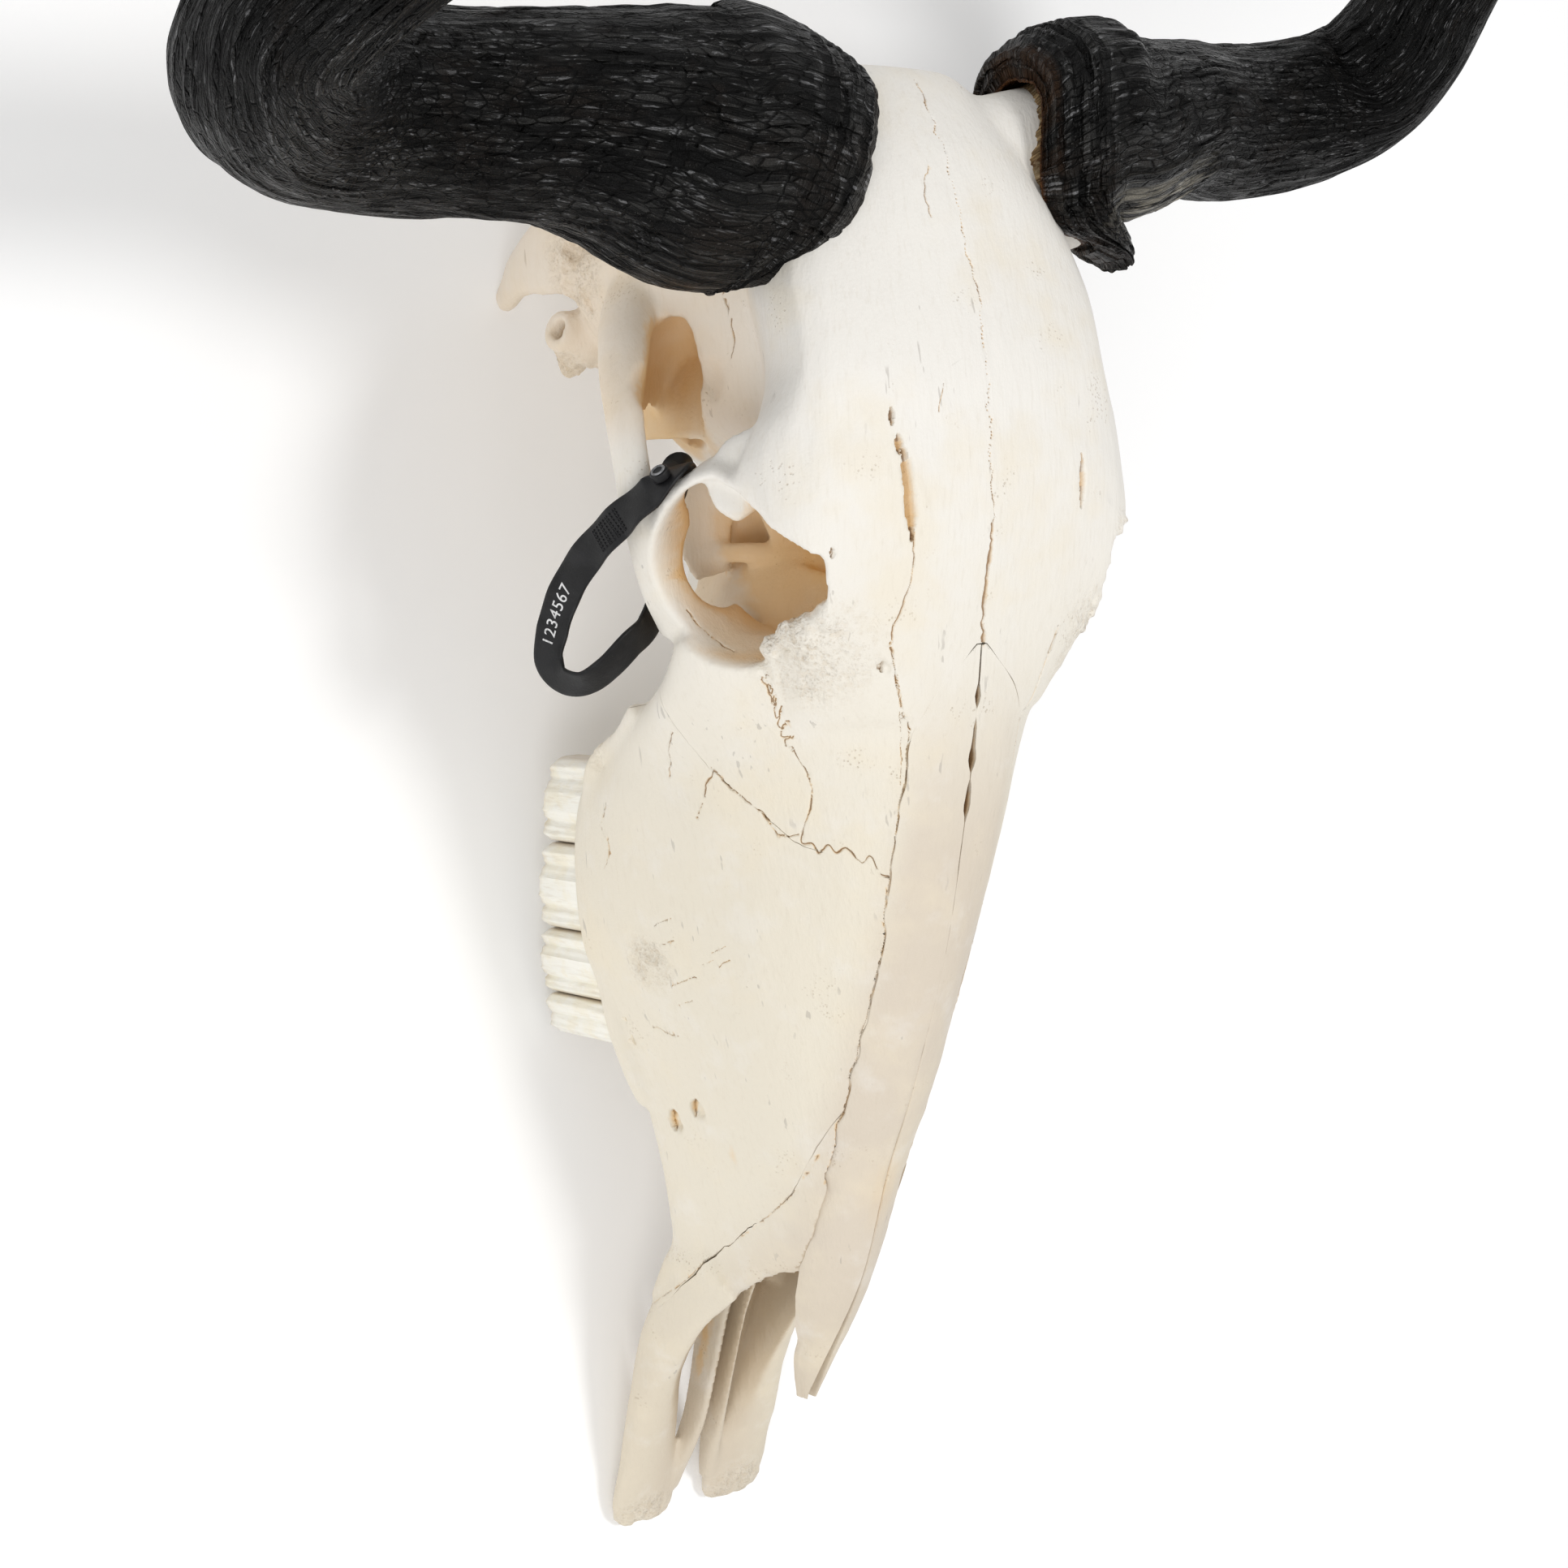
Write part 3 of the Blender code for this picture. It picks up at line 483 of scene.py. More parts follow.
# Thin parts that the hollows would cut away: the two prongs of each premaxilla, the wall and the bridge
# deep in each eye socket, and the rough swollen edge of the lacrimal bone in front of the eye.
prong = tube("prong", [(22.5, -172, 68, 4, 14), (23, -184, 53, 5, 13), (24, -196, 41, 6, 12),
                       (24.5, -211, 31, 7.5, 10.5), (24, -227, 24, 9.3, 8), (23, -243, 18, 11, 6.5),
                       (21.5, -257, 12.5, 12, 5.5), (20.6, -267, 8.8, 13.5, 4.8), (20.2, -275, 6, 13.6, 4),
                       (20, -281, 4.4, 12.2, 3), (20, -283.5, 3.6, 8.5, 2)], count=36)
inner_prong = tube("inner_prong", [(4.6, -184, 42, 3, 9), (4.2, -200, 35, 2.1, 8.5),
                                   (4.1, -220, 28, 2.0, 7.5), (4.6, -243, 20, 2.2, 6),
                                   (7, -260, 12, 3.5, 4.5), (10, -271, 7, 5, 3.4)])
palate_shelf = tube("palate_shelf", [(18, -182, 33, 5.5, 3), (18, -200, 24.5, 5, 2.5),
                                     (18.5, -222, 18, 4.5, 2.4), (17, -243, 12.5, 4.5, 3)])
temple_wall = tube("temple_wall", [(42, 124, 76, 14, 2.4), (42, 123, 93, 14, 2.4), (42, 122, 116, 14, 2.4)],
                   roll=TOWARDS)
socket_wall = tube("socket_wall", [(47, 99, 115, 9, 2.6), (46, 93, 116.5, 9.5, 2.6),
                                   (46, 84, 115.5, 9, 2.4), (46, 74, 114.5, 8, 2.4), (45, 66, 116, 6, 2)],
                   roll=TOWARDS)
socket_back = tube("socket_back", [(30, 106, 112, 9, 2.4), (30, 92, 116, 10, 2.4), (30, 80, 118, 10, 2.4),
                                   (31, 68, 121, 9, 2.4)], roll=TOWARDS)
cavity_wall = tube("cavity_wall", [(40, 60, 100, 12, 2.2), (39.5, 58, 118, 14, 2.2), (38, 56, 138, 15, 2.2),
                                   (36, 54, 156, 13, 2.2), (34, 54, 170, 10, 2.2)], roll=TOWARDS)
socket_bridge = tube("socket_bridge", [(48, 72, 112, 3, 3), (42, 73, 123, 3.5, 2.4),
                                       (34, 72, 136, 3.5, 2.4), (27, 70, 150, 4, 3)])
brow_corner = tube("brow_corner", [(62, 107, 170, 5, 3), (67, 100, 164, 8, 3), (69, 92, 163, 8, 3),
                                   (66, 85, 166, 5, 3)],
                   roll=TOWARDS)
swellings = [ball("swelling", place, size, (0.4, 0.2, 0.3)) for place, size in (
    ((59, 45, 164), (4, 4.5, 5)), ((57.5, 49, 171), (4.5, 4.5, 4)), ((56, 50, 178), (4, 5, 4.5)),
    ((53.5, 54, 184), (4, 5, 4)), ((51, 47, 172), (6, 8, 9)))]
blank = joined("blank", [blank] + both_sides((
    prong, inner_prong, palate_shelf, temple_wall, socket_wall, socket_back, cavity_wall, socket_bridge,
    brow_corner, *swellings)))
fused(blank, BLANK_VOXEL, 3)

# The bones: the blank parted along the real sutures into cranium, upper jaw and the two premaxillae, which
# grip each other by the ragged edges. Bleached bone, with its cracks, grooves and foramina, brown and ochre
# where the marrow stained it; part of the ochre in the hollows is painted shade where little sky reaches,
# and the dark brown inside the nose is painted shade.
BONE_TONES = {"white": (0.86, 0.83, 0.775), "cream": (0.79, 0.73, 0.61), "ochre": (0.78, 0.49, 0.18),
              "brown": (0.27, 0.145, 0.055), "grey": (0.36, 0.33, 0.29)}
WHOLE_TIP, SPLIT_TIP = 0.2, 1.9
NASAL_RINGS = 132
PREMAXILLA_SUTURE = [(-197, -20), (-197, 29), (-171, 65), (-153, 92), (-140, 110), (-106, 139), (-100, 170)]
CHEEK_SUTURE = [(24, -20), (24, 84), (38, 108), (28, 120), (7, 127), (-7, 139), (-16, 146), (-21, 154),
                (-24, 164), (-30, 172), (-30, 240)]


def noise(places, cell, seed):
    """Smooth noise from -1 to 1 at rows of places, with cells of the given size along each axis."""
    spots = places / np.array(cell, dtype=float) + seed * 17.31
    base = np.floor(spots).astype(np.int64)
    part = spots - base
    part = part * part * (3 - 2 * part)
    total = np.zeros(len(places))
    for corner in range(8):
        step = np.array([corner & 1, corner >> 1 & 1, corner >> 2])
        mixed = ((base + step) @ np.array([73856093, 19349663, 83492791]) + seed * 7919) & 0xffffffff
        mixed = ((mixed ^ (mixed >> 13)) * 1274126177) & 0xffffffff
        value = ((mixed ^ (mixed >> 16)) & 0xffff) / 32767.5 - 1
        total += value * np.where(step, part, 1 - part).prod(axis=1)
    return total


def spots_of(made):
    spots = np.empty(len(made.data.vertices) * 3)
    made.data.vertices.foreach_get("co", spots)
    return spots.reshape(-1, 3)


def normals_of(made):
    normals = np.empty(len(made.data.vertices) * 3)
    made.data.vertex_normals.foreach_get("vector", normals)
    return normals.reshape(-1, 3)


def moved_to(made, spots):
    made.data.vertices.foreach_set("co", np.asarray(spots, dtype=float).ravel())
    made.data.update()
    return made


def marked(made, **marks):
    """Stores numbers or vectors on the points under the given names, for the material to read."""
    for name, values in marks.items():
        values = np.asarray(values, dtype=float)
        kind, field = ("FLOAT", "value") if values.ndim == 1 else ("FLOAT_VECTOR", "vector")
        made.data.attributes.new(name, kind, "POINT").data.foreach_set(field, values.ravel())
    return made


def prism(name, outline):
    """A block that spans the skull in X, from its outline of (y, z) places."""
    return loft(name, [[Vector((x, y, z)) for y, z in outline] for x in (-140, 140)])


def ragged(suture, gap, reach, seed):
    """The suture, moved square to itself towards the rear, as a line that wavers like a real one."""
    line = smooth_line([(y, z, 0) for y, z in suture], 14)
    places = np.array([p[:] for p in line])
    waver = noise(places, (5, 5, 5), seed) + 0.6 * noise(places, (2, 2, 2), seed + 1)
    edge = []
    for i, place in enumerate(line):
        along = (line[min(i + 1, len(line) - 1)] - line[max(i - 1, 0)]).normalized()
        off = gap + (reach * waver[i] if 20 < i < len(line) - 20 else 0)
        edge.append((place.x + along.y * off, place.y - along.x * off))
    return edge


def front_of(suture, gap, reach, seed):
    edge = ragged(suture, gap, reach, seed)
    return prism("front", [(-400, edge[-1][1]), (-400, edge[0][1]), *edge])


def copy_of(made, name):
    twin = bpy.data.objects.new(name, made.data.copy())
    bpy.context.scene.collection.objects.link(twin)
    return twin


def waver_at(y, cell, seed):
    return noise(np.array([[0, y, 0]]), (1, cell, 1), seed)[0]


def nasal_rings(grow, splinter=0.0):
    """Cross sections of one nasal bone from tip to rear; with growth they bound the bed for both."""
    rings = []
    for i in range(NASAL_RINGS + 1):
        y = NASAL_TIP_Y + (NASAL_REAR_Y - NASAL_TIP_Y) * i / NASAL_RINGS
        half, top, drop = nasal_half(y), crown(y), nasal_drop(y)
        narrow = 1 - 0.9 * max(0, (y - NASAL_REAR_Y + 34) / 34) ** 2.2
        half, drop = half * narrow, drop * narrow * narrow
        waver = waver_at(y, 6, 3) * 0.5 + waver_at(y, 2, 4) * 0.25
        snug = grow * min(max((20 - y) / 12, 0), 1)
        half = max(half + waver * min(1, (y - NASAL_TIP_Y) / 20), 0.8) + snug
        edge = top - drop
        half -= splinter * math.exp(-((y + 197) / 4) ** 2) if splinter == SPLIT_TIP else 0
        y -= snug * (i == 0)
        if grow:
            low = edge - 5 - grow
            rings.append([Vector((x, y, z)) for x, z in (
                (-half, 230), (half, 230), (half, low), (half * 0.5, top - drop * 0.3 - 6 - grow),
                (-half * 0.5, top - drop * 0.3 - 6 - grow), (-half, low))])
            continue
        slit = 0.10 + (0.7 + splinter) * min(max((-168 - y) / 52, 0), 1) ** 1.3
        slit += 1.9 * max(0, 1 - ((y - 9) / 29) ** 2) * (0.55 + 0.9 * waver_at(y, 5, 9))
        slit = min(max(slit, 0.05) + 0.12 * abs(waver_at(y, 1.6, 6)), half * 0.7)
        wide = half - slit
        section = [(slit, top - 0.5), (slit + 0.4, top), (slit + wide * 0.28, top - drop * 0.08),
                   (slit + wide * 0.55, top - drop * 0.3), (slit + wide * 0.78, top - drop * 0.56),
                   (half - 0.5, edge + drop * 0.08), (half, edge - 0.5), (half - 0.1, edge - 3.2),
                   (half * 0.8, edge - 4),
                   (half * 0.5, top - drop * 0.3 - 4.6), (slit + 0.6, top - 5), (slit, top - 4.2)]
        rings.append([Vector((x, y, z)) for x, z in section])
    return rings


def nasal_bone(splinter):
    """One nasal bone, its section drawn finer between the twelve set places."""
    fine = []
    for ring in nasal_rings(0, splinter):
        line = []
        for a, b in zip(ring, ring[1:] + ring[:1]):
            line += [a.lerp(b, k / 3) for k in range(3)]
        fine.append(line)
    return loft("nasal_bone", fine)


def laid_flush(made, roof):
    """Moves the top of a nasal bone to the level of the bones beside it, all along its rear half."""
    spots, facing = spots_of(made), normals_of(made)[:, 2]
    for i in np.flatnonzero((spots[:, 1] > -130) & (facing > 0.1)):
        hit = roof.ray_cast(Vector((spots[i, 0], spots[i, 1], 260)), Vector((0, 0, -1)))[0]
        if hit and abs(hit.z - spots[i, 2]) < 4:
            spots[i, 2] += (hit.z - spots[i, 2]) * min((spots[i, 1] + 130) / 60, 1)
    return moved_to(made, spots)


roof = BVHTree.FromObject(blank, bpy.context.evaluated_depsgraph_get())
combined(blank, [loft("nasal_bed", nasal_rings(0.05))])
premaxillae = combined(copy_of(blank, "premaxillae"), [front_of(PREMAXILLA_SUTURE, 0, 0.8, 21)],
                       "INTERSECT")
upper_jaw = combined(copy_of(blank, "upper_jaw"), [front_of(PREMAXILLA_SUTURE, 0.28, 0.8, 21)])
cranium = combined(copy_of(upper_jaw, "cranium"), [front_of(CHEEK_SUTURE, 0.12, 0.5, 31)])
combined(upper_jaw, [front_of(CHEEK_SUTURE, 0, 0.5, 31)], "INTERSECT")
premaxilla = {}
for name, low, high in (("premaxilla_left", 0.12, 90), ("premaxilla_right", -90, -0.12)):
    block = loft("block", [[Vector((x, y, z)) for y, z in ((-400, -50), (0, -50), (0, 300), (-400, 300))]
                           for x in (low, high)])
    premaxilla[name] = combined(copy_of(premaxillae, name), [block], "INTERSECT")
bpy.data.objects.remove(premaxillae, do_unlink=True)
nasal_left, pattern = laid_flush(nasal_bone(WHOLE_TIP), roof), laid_flush(nasal_bone(SPLIT_TIP), roof)
nasal_right = flipped(pattern)
bones = {"cranium": cranium, "upper_jaw": upper_jaw, **premaxilla, "nasal_left": nasal_left,
         "nasal_right": nasal_right}
large = (cranium, upper_jaw)

# Lines on the bones: each is (places, half width, depth, wander). The right side's own, then the left
# side's.


def coil(start, end, loops, reach):
    """A line that loops over itself on its way, as the joint of two grown bones does."""
    start, end, across = Vector(start), Vector(end), Vector((-0.35, 0.1, 0.9))
    ahead = (end - start).normalized()
    places = []
    for k in range(loops * 8 + 1):
        turn = 2 * math.pi * k / 8
        much = reach * (0.7 + 0.5 * math.sin(k * 1.7))
        places.append(start.lerp(end, k / (loops * 8)) + across * math.sin(turn) * much * 1.3
                      + ahead * math.cos(turn) * much)
    return places


def pit(start, end, wide, deep):
    """A long hole through the outer bone, as short lines that widen to its middle."""
    start, end = Vector(start), Vector(end)
    return [([start.lerp(end, k / 8), start.lerp(end, (k + 1) / 8)],
             wide * math.sin(math.pi * (k + 0.8) / 8.6) ** 0.6,
             deep, 0.1) for k in range(8)]


LINES = [
    ([(-34, 45, 189), (-27, 25, 184), (-22.5, 18, 182)], 0.5, 0.8, 0.7),
    ([(-28.5, 77, 196), (-29, 62, 194), (-33, 50, 190), (-34, 45, 189)], 0.35, 0.5, 0.5),
    ([(0, 34, 190), (0, 41, 191), (0.5, 52, 194), (-0.3, 64, 196), (0.3, 78, 198)], 0.85, 1.1, 0.8),
    ([(0.3, 78, 198), (0, 99, 199), (0.8, 138, 197), (-0.5, 162, 192), (-2, 197, 183), (-1, 212, 172)],
     0.4, 0.45, 1.2),
    (coil((-61, 36, 161), (-48, 13, 156), 6, 2.3), 0.34, 0.5, 0.15),
    *pit((-36, 113.5, 198), (-36, 109, 198), 1.4, 2.4),
    *pit((-34, 105.5, 198), (-34, 100.5, 198), 1.7, 2.4),
    *pit((-32.3, 101, 197), (-29.2, 75, 196), 2.3, 2.8),
    *pit((-57, 73.5, 194), (-57, 71, 194), 1.1, 1.6),
    *pit((40, 98, 197), (40, 82, 196), 1.5, 2.2),
    *pit((-37, -116, 66), (-37, -123, 64), 2.1, 2.6),
    *pit((-38, -110, 80), (-38, -116, 78), 1.7, 2.4),
    *pit((-35, 39, 186), (-35, 36.5, 186), 1.2, 1.8),
    ([(-22.5, 18, 182), (-22, 2, 179), (-21, -21, 172), (-20.3, -31, 169), (-19.2, -61, 158),
      (-18.6, -83, 147), (-18, -109, 136), (-17, -124, 128), (-16.3, -145, 117), (-15.7, -163, 105)], 0.42,
     0.6, 0.2),
    ([(22.5, 18, 182), (22, 2, 179), (21, -21, 172), (20.3, -31, 169), (19.2, -61, 158), (18.6, -83, 147),
      (18, -109, 136), (17, -124, 128), (16.3, -145, 117), (15.7, -163, 105)], 0.42, 0.6, 0.2),
    ([(-27, -197, 27), (-27, -182, 50), (-25, -172, 63), (-23, -155, 89), (-22, -140, 110),
      (-20, -124, 124)],
     0.38, 0.5, 0.3),
    ([(-48, 13, 156), (-46, 8, 157), (-42, 3, 157)], 0.35, 0.6, 0.5),
    ([(-70, 57, 137), (-66, 51, 143), (-62, 46, 150)], 0.35, 0.5, 0.6),
    ([(-30, 36, 186), (-27, 22, 184), (-25, 8, 181), (-24, 0, 179)], 0.25, 0.3, 0.5),
    ([(12, -60, 160), (11, -90, 151), (9, -120, 141), (8, -140, 133)], 0.25, 0.3, 0.6),
    ([(-42, 3, 157), (-39, -4, 154), (-41, -17, 149), (-38, -18, 152), (-37, -21, 153), (-35, -18, 156),
      (-34, -21, 158), (-31, -19, 160), (-28, -24, 163), (-26, -22, 165), (-24, -28, 167), (-21, -30, 170)],
     0.4, 0.6, 0.4),
    ([(-58, 7, 127), (-53, -1, 133), (-49, -7, 139), (-44, -15, 143), (-41, -15, 149)], 0.5, 0.8, 0.6),
    ([(-57, 6, 128), (-58, 1, 124), (-57, -4, 121), (-57, -10, 117)], 0.35, 0.5, 0.6),
    ([(-66, 19, 120), (-63, 11, 113), (-61, 3, 109)], 0.35, 0.5, 0.8),
    ([(-53, 152, 140), (-52, 146, 141), (-51, 138, 142), (-50, 130, 140)], 0.4, 0.6, 0.7),
    ([(-9, 186, 188), (-13, 178, 190), (-12, 170, 191)], 0.3, 0.4, 0.8),
    ([(-17, 120, 198), (-19, 112, 198)], 0.3, 0.4, 0.5),
    ([(-57, -8, 70), (-58, -16, 66), (-57, -22, 70), (-58, -30, 66)], 0.35, 0.4, 0.8),
    ([(-57, -70, 89), (-57, -68, 96), (-57, -66, 103)], 0.26, 0.3, 0.5),
    ([(-57, -48, 87), (-57, -45, 96)], 0.24, 0.3, 0.5),
    ([(-57, -55, 88), (-57, -53, 95)], 0.24, 0.3, 0.5),
    ([(-57, -62, 104), (-57, -60, 112)], 0.24, 0.3, 0.4),
    ([(-57, -57.6, 111), (-57, -55.6, 118)], 0.22, 0.3, 0.4),
    ([(-57, -63, 113), (-57, -60, 119)], 0.22, 0.3, 0.4),
    ([(-57, -78, 90), (-57, -75.5, 97)], 0.24, 0.3, 0.4),
    ([(-57, -88, 71), (-57, -90, 84)], 0.26, 0.3, 0.9),
    ([(34, 45, 189), (27, 25, 184), (22.5, 18, 182)], 0.5, 0.8, 0.7),
    ([(61, 37, 161), (54, 27, 160), (50, 20, 158), (42, 3, 157), (41, -17, 149), (28, -24, 163),
      (21, -30, 170)],
     0.4, 0.6, 1.2),
    ([(58, 7, 127), (53, -1, 133), (49, -7, 139), (44, -15, 143), (41, -15, 149)], 0.75, 1.0, 0.8),
    ([(53, 152, 140), (52, 146, 141), (51, 138, 142)], 0.4, 0.6, 0.7),
    ([(-40, 96, 62), (-20, 104, 52), (0, 106, 48), (20, 104, 52), (40, 96, 62)], 0.4, 0.5, 1.0),
]
ROUGH_PADS = [((-50, 46, 172), 21), ((50, 46, 172), 21), ((-54, -62, 80), 11), ((-56, 168, 65), 20),
              ((56, 168, 65), 20),
              ((-44, 142, 42), 12), ((44, 142, 42), 12), ((-21, -279, 5), 13), ((21, -279, 5), 13),
              ((68, 70, 184), 13), ((-52, 8, 62), 8)]


def thinned(made, triangles):
    """Reduces the mesh to about that many triangles."""
    total = sum(len(p.vertices) - 2 for p in made.data.polygons)
    fewer = made.modifiers.new("fewer", "DECIMATE")
    fewer.ratio = min(triangles / total, 1)
    return applied(made)


def line_samples(surface, lines, seed):
    """Every line as places laid on the surface, each with the half width and depth of the crack there."""
    places, sizes = [], []
    for i, (line, wide, deep, wander) in enumerate(lines):
        dense = np.array([p[:] for p in smooth_line(line, 36)])
        for axis in range(3):
            dense[:, axis] += wander * (noise(dense, (4, 4, 4), seed + 7 * i + axis)
                                        + 0.5 * noise(dense, (1.3, 1.3, 1.3), seed + 7 * i + axis + 3))
        vary = 0.85 + 0.55 * noise(dense, (3, 3, 3), seed + 7 * i + 5) * min(wander / 0.35, 1)
        for place, much in zip(dense, vary):
            places.append(surface.find_nearest(Vector(place))[0])
            sizes.append((wide * max(much, 0.3), deep * max(much, 0.2)))
    tree = KDTree(len(places))
    for i, place in enumerate(places):
        tree.insert(place, i)
    tree.balance()
    return tree, np.array(sizes), np.array([place[:] for place in places])


def close_to(spots, places, cell=3.0):
    """Which of the spots share a cell, or a neighbouring one, with any of the places."""
    def key(cells):
        return (cells[:, 0] + 500) * 1000000 + (cells[:, 1] + 500) * 1000 + cells[:, 2] + 500

    cells = np.floor(places / cell).astype(np.int64)
    around = [key(cells + np.array([a, b, c])) for a in (-1, 0, 1) for b in (-1, 0, 1) for c in (-1, 0, 1)]
    return np.isin(key(np.floor(spots / cell).astype(np.int64)), np.unique(np.concatenate(around)))


LARGE_TRIANGLES = (80000, 70000)
# How near to a crack points are, and how long their edges may stay.
LINE_FINENESS = ((6.0, 3.0), (3.5, 2.0), (2.0, 1.1), (1.2, 0.6), (0.7, 0.35))
SKY_RAYS = 28
SKY_REACH = 60


def refined(made, chosen, longest=0.0):
    """Halves the edges at the chosen points, if they are longer than that."""
    shape = bmesh.new()
    shape.from_mesh(made.data)
    shape.verts.ensure_lookup_table()
    edges = {e for i in chosen for e in shape.verts[i].link_edges if e.calc_length() > longest}
    bmesh.ops.subdivide_edges(shape, edges=sorted(edges, key=lambda e: e.index), cuts=1, use_grid_fill=True)
    shape.to_mesh(made.data)
    shape.free()
    return made


def on_pads(spots):
    """How near each place is to the middle of a rough pad, as a share from 0 to 1."""
    return np.max([smoothstep(1.4 - np.linalg.norm(spots - np.array(centre), axis=1) / reach * 1.1)
                   for centre, reach in ROUGH_PADS], axis=0)


def smoothstep(values):
    values = np.clip(values, 0, 1)
    return values * values * (3 - 2 * values)


def openness_of(shell):
    """How much of the sky above each point of a coarse shell is free within 6 cm, from 0 to 1."""
    fused(shell, 4.0, 1)
    surface = BVHTree.FromObject(shell, bpy.context.evaluated_depsgraph_get())
    golden = math.pi * (3 - math.sqrt(5))
    rays = []
    for k in range(SKY_RAYS):
        low = math.sqrt((k + 0.5) / SKY_RAYS)
        rays.append(Vector((math.sin(golden * k) * low, math.cos(golden * k) * low,
                            math.sqrt(1 - (k + 0.5) / SKY_RAYS))))
    tree = KDTree(len(shell.data.vertices))
    free = []
    for vertex in shell.data.vertices:
        turn = vertex.normal.to_track_quat("Z", "Y")
        start = vertex.co + vertex.normal * 0.8
        free.append(sum(surface.ray_cast(start, turn @ ray, SKY_REACH)[0] is None for ray in rays)
                    / len(rays))
        tree.insert(vertex.co, vertex.index)
    tree.balance()
    bpy.data.objects.remove(shell, do_unlink=True)
    return tree, np.array(free)


def near(places, centre, reach, soft):
    """A share for each place: 1 well inside the reach of the centre, 0 outside it."""
    return smoothstep((reach - np.linalg.norm(places - np.array(centre), axis=1)) / soft)


def stain_and_painted_shade(spots, facing, free, sunk):
    """How far each place is painted ochre, partly as a stain of marrow and soil and partly as painted
    shade: in the hollows and wherever little sky reaches, the eye sockets, the temples, the ears and the
    nose. The nose's share, painted shade on its inner walls, is also given on its own."""
    side = np.where(spots[:, 0] < 0, -1.0, 1.0)
    there = np.column_stack([spots[:, 0] * side, spots[:, 1], spots[:, 2]])
    covered_over = smoothstep((0.88 - free) / 0.2)
    offset = there - np.array(ORBIT_CENTRE)
    depth = -offset @ np.array(FACING)
    beside = np.linalg.norm(offset + depth[:, None] * np.array(FACING), axis=1)
    eye = 0.46 * smoothstep((depth - 2) / 6) + 0.40 * smoothstep((depth - 17) / 10)
    eye *= smoothstep((36 - beside) / 4)
    temple = 0.95 * near(there, (47, 125, 99), 29, 6) * covered_over
    lip = 0.92 * near(there, (42, 120, 93), 23, 7)
    wall = np.maximum(0.46 * near(there, (50, 78, 118), 32, 6), 0.80 * near(there, (32, 82, 122), 18, 5))
    rear = 0.34 * smoothstep((there[:, 1] - 100) / 20) * smoothstep((165 - there[:, 2]) / 30)
    crowns = np.array([crown(y) for y in spots[:, 1]])
    # Painted shade: the inner walls of the nose, facing the middle, are painted dark brown.
    nose = smoothstep((-facing[:, 0] * side - 0.15) / 0.3) * smoothstep((there[:, 1] + 262) / 60)
    nose *= (there[:, 1] < -120) * smoothstep((crowns - 10 - there[:, 2]) / 4)
    # Painted shade: ochre where little sky reaches a place, or where it lies sunk below the blank's skin.
    deep = np.maximum(smoothstep((0.62 - free) / 0.44), 0.95 * smoothstep((sunk - 1.2) / 6))
    return np.max([deep, eye * covered_over, temple, lip, wall, rear, 0.45 * nose], axis=0), nose


surface = BVHTree.FromObject(blank, bpy.context.evaluated_depsgraph_get())
line_tree, line_sizes, line_places = line_samples(surface, LINES, 50)
open_tree, open_values = openness_of(copy_of(blank, "shell"))
bpy.data.objects.remove(blank, do_unlink=True)
for bone, triangles in zip(large, LARGE_TRIANGLES):
    thinned(bone, triangles)
    refined(bone, np.flatnonzero(on_pads(spots_of(bone)) > 0.15))
    for reach, longest in LINE_FINENESS:
        spots = spots_of(bone)
        likely = np.flatnonzero(close_to(spots, line_places, 6.0))
        refined(bone, [i for i in likely if line_tree.find(Vector(spots[i]))[2] < reach], longest)
for bone in bones.values():
    spots = spots_of(bone)
    which, away = np.zeros(len(spots), dtype=int), np.full(len(spots), 99.0)
    for i in np.flatnonzero(close_to(spots, line_places)):
        which[i], away[i] = line_tree.find(Vector(spots[i]))[1:]
    cracked = smoothstep(1.25 - away / line_sizes[which, 0])
    free = np.array([sum(open_values[i] for _, i, _ in open_tree.find_n(Vector(p), 3)) / 3 for p in spots])
    pad = on_pads(spots) * np.clip(0.8 + 0.5 * noise(spots, (6, 6, 6), 12), 0, 1)
    uneven = 0.34 * noise(spots, (16, 24, 16), 13) + 0.14 * noise(spots, (5, 8, 5), 14)
    uneven += 0.05 * noise(spots, (2, 4, 2), 15)
    rough = 1.1 * noise(spots, (3.2, 3.2, 3.2), 16) + 1.0 * noise(spots, (1.8, 1.8, 1.8), 17)
    edges = 1.0
    if bone not in large and bone not in premaxilla.values():
        edges = 0.25 + 0.75 * smoothstep((spots[:, 1] + 150) / 60)
        level = np.array([crown(y) for y in spots[:, 1]]) - spots[:, 2]
        cleft = smoothstep((level - 0.4) / 0.5) * (np.abs(spots[:, 0]) < 2.4)
        cleft *= smoothstep((spots[:, 1] + 50) / 20)
        cleft *= spots[:, 1] < NASAL_REAR_Y - 3
        cracked = np.maximum(cracked, cleft)
    shift = uneven * edges + rough * pad - cracked * line_sizes[which, 1] * (away < 9)
    moved_to(bone, spots + normals_of(bone) * shift[:, None])
    pitted = cracked * (line_sizes[which, 0] > 1.2)
    sunk = np.zeros(len(spots))
    for i, place in enumerate(spots):
        nearest, facing, _, gap = skin.find_nearest(Vector(place))
        sunk[i] = gap if (nearest - Vector(place)).dot(facing) > 0 else 0
    hollow, nose = stain_and_painted_shade(spots, normals_of(bone), free, sunk)
    marked(bone, crack=np.where(pitted > 0, 0.70, 1) * cracked, hollow=np.maximum(hollow, 0.9 * pitted),
           nose=nose,
           pad=pad)


def shader(name, roughness, specular=0.5):
    """A new material, its node tree and its Principled shader, with its even values set."""
    made = bpy.data.materials.new(name)
    made.use_nodes = True
    principled = made.node_tree.nodes["Principled BSDF"]
    principled.inputs["Roughness"].default_value = roughness
    principled.inputs["Specular IOR Level"].default_value = specular
    return made, made.node_tree, principled


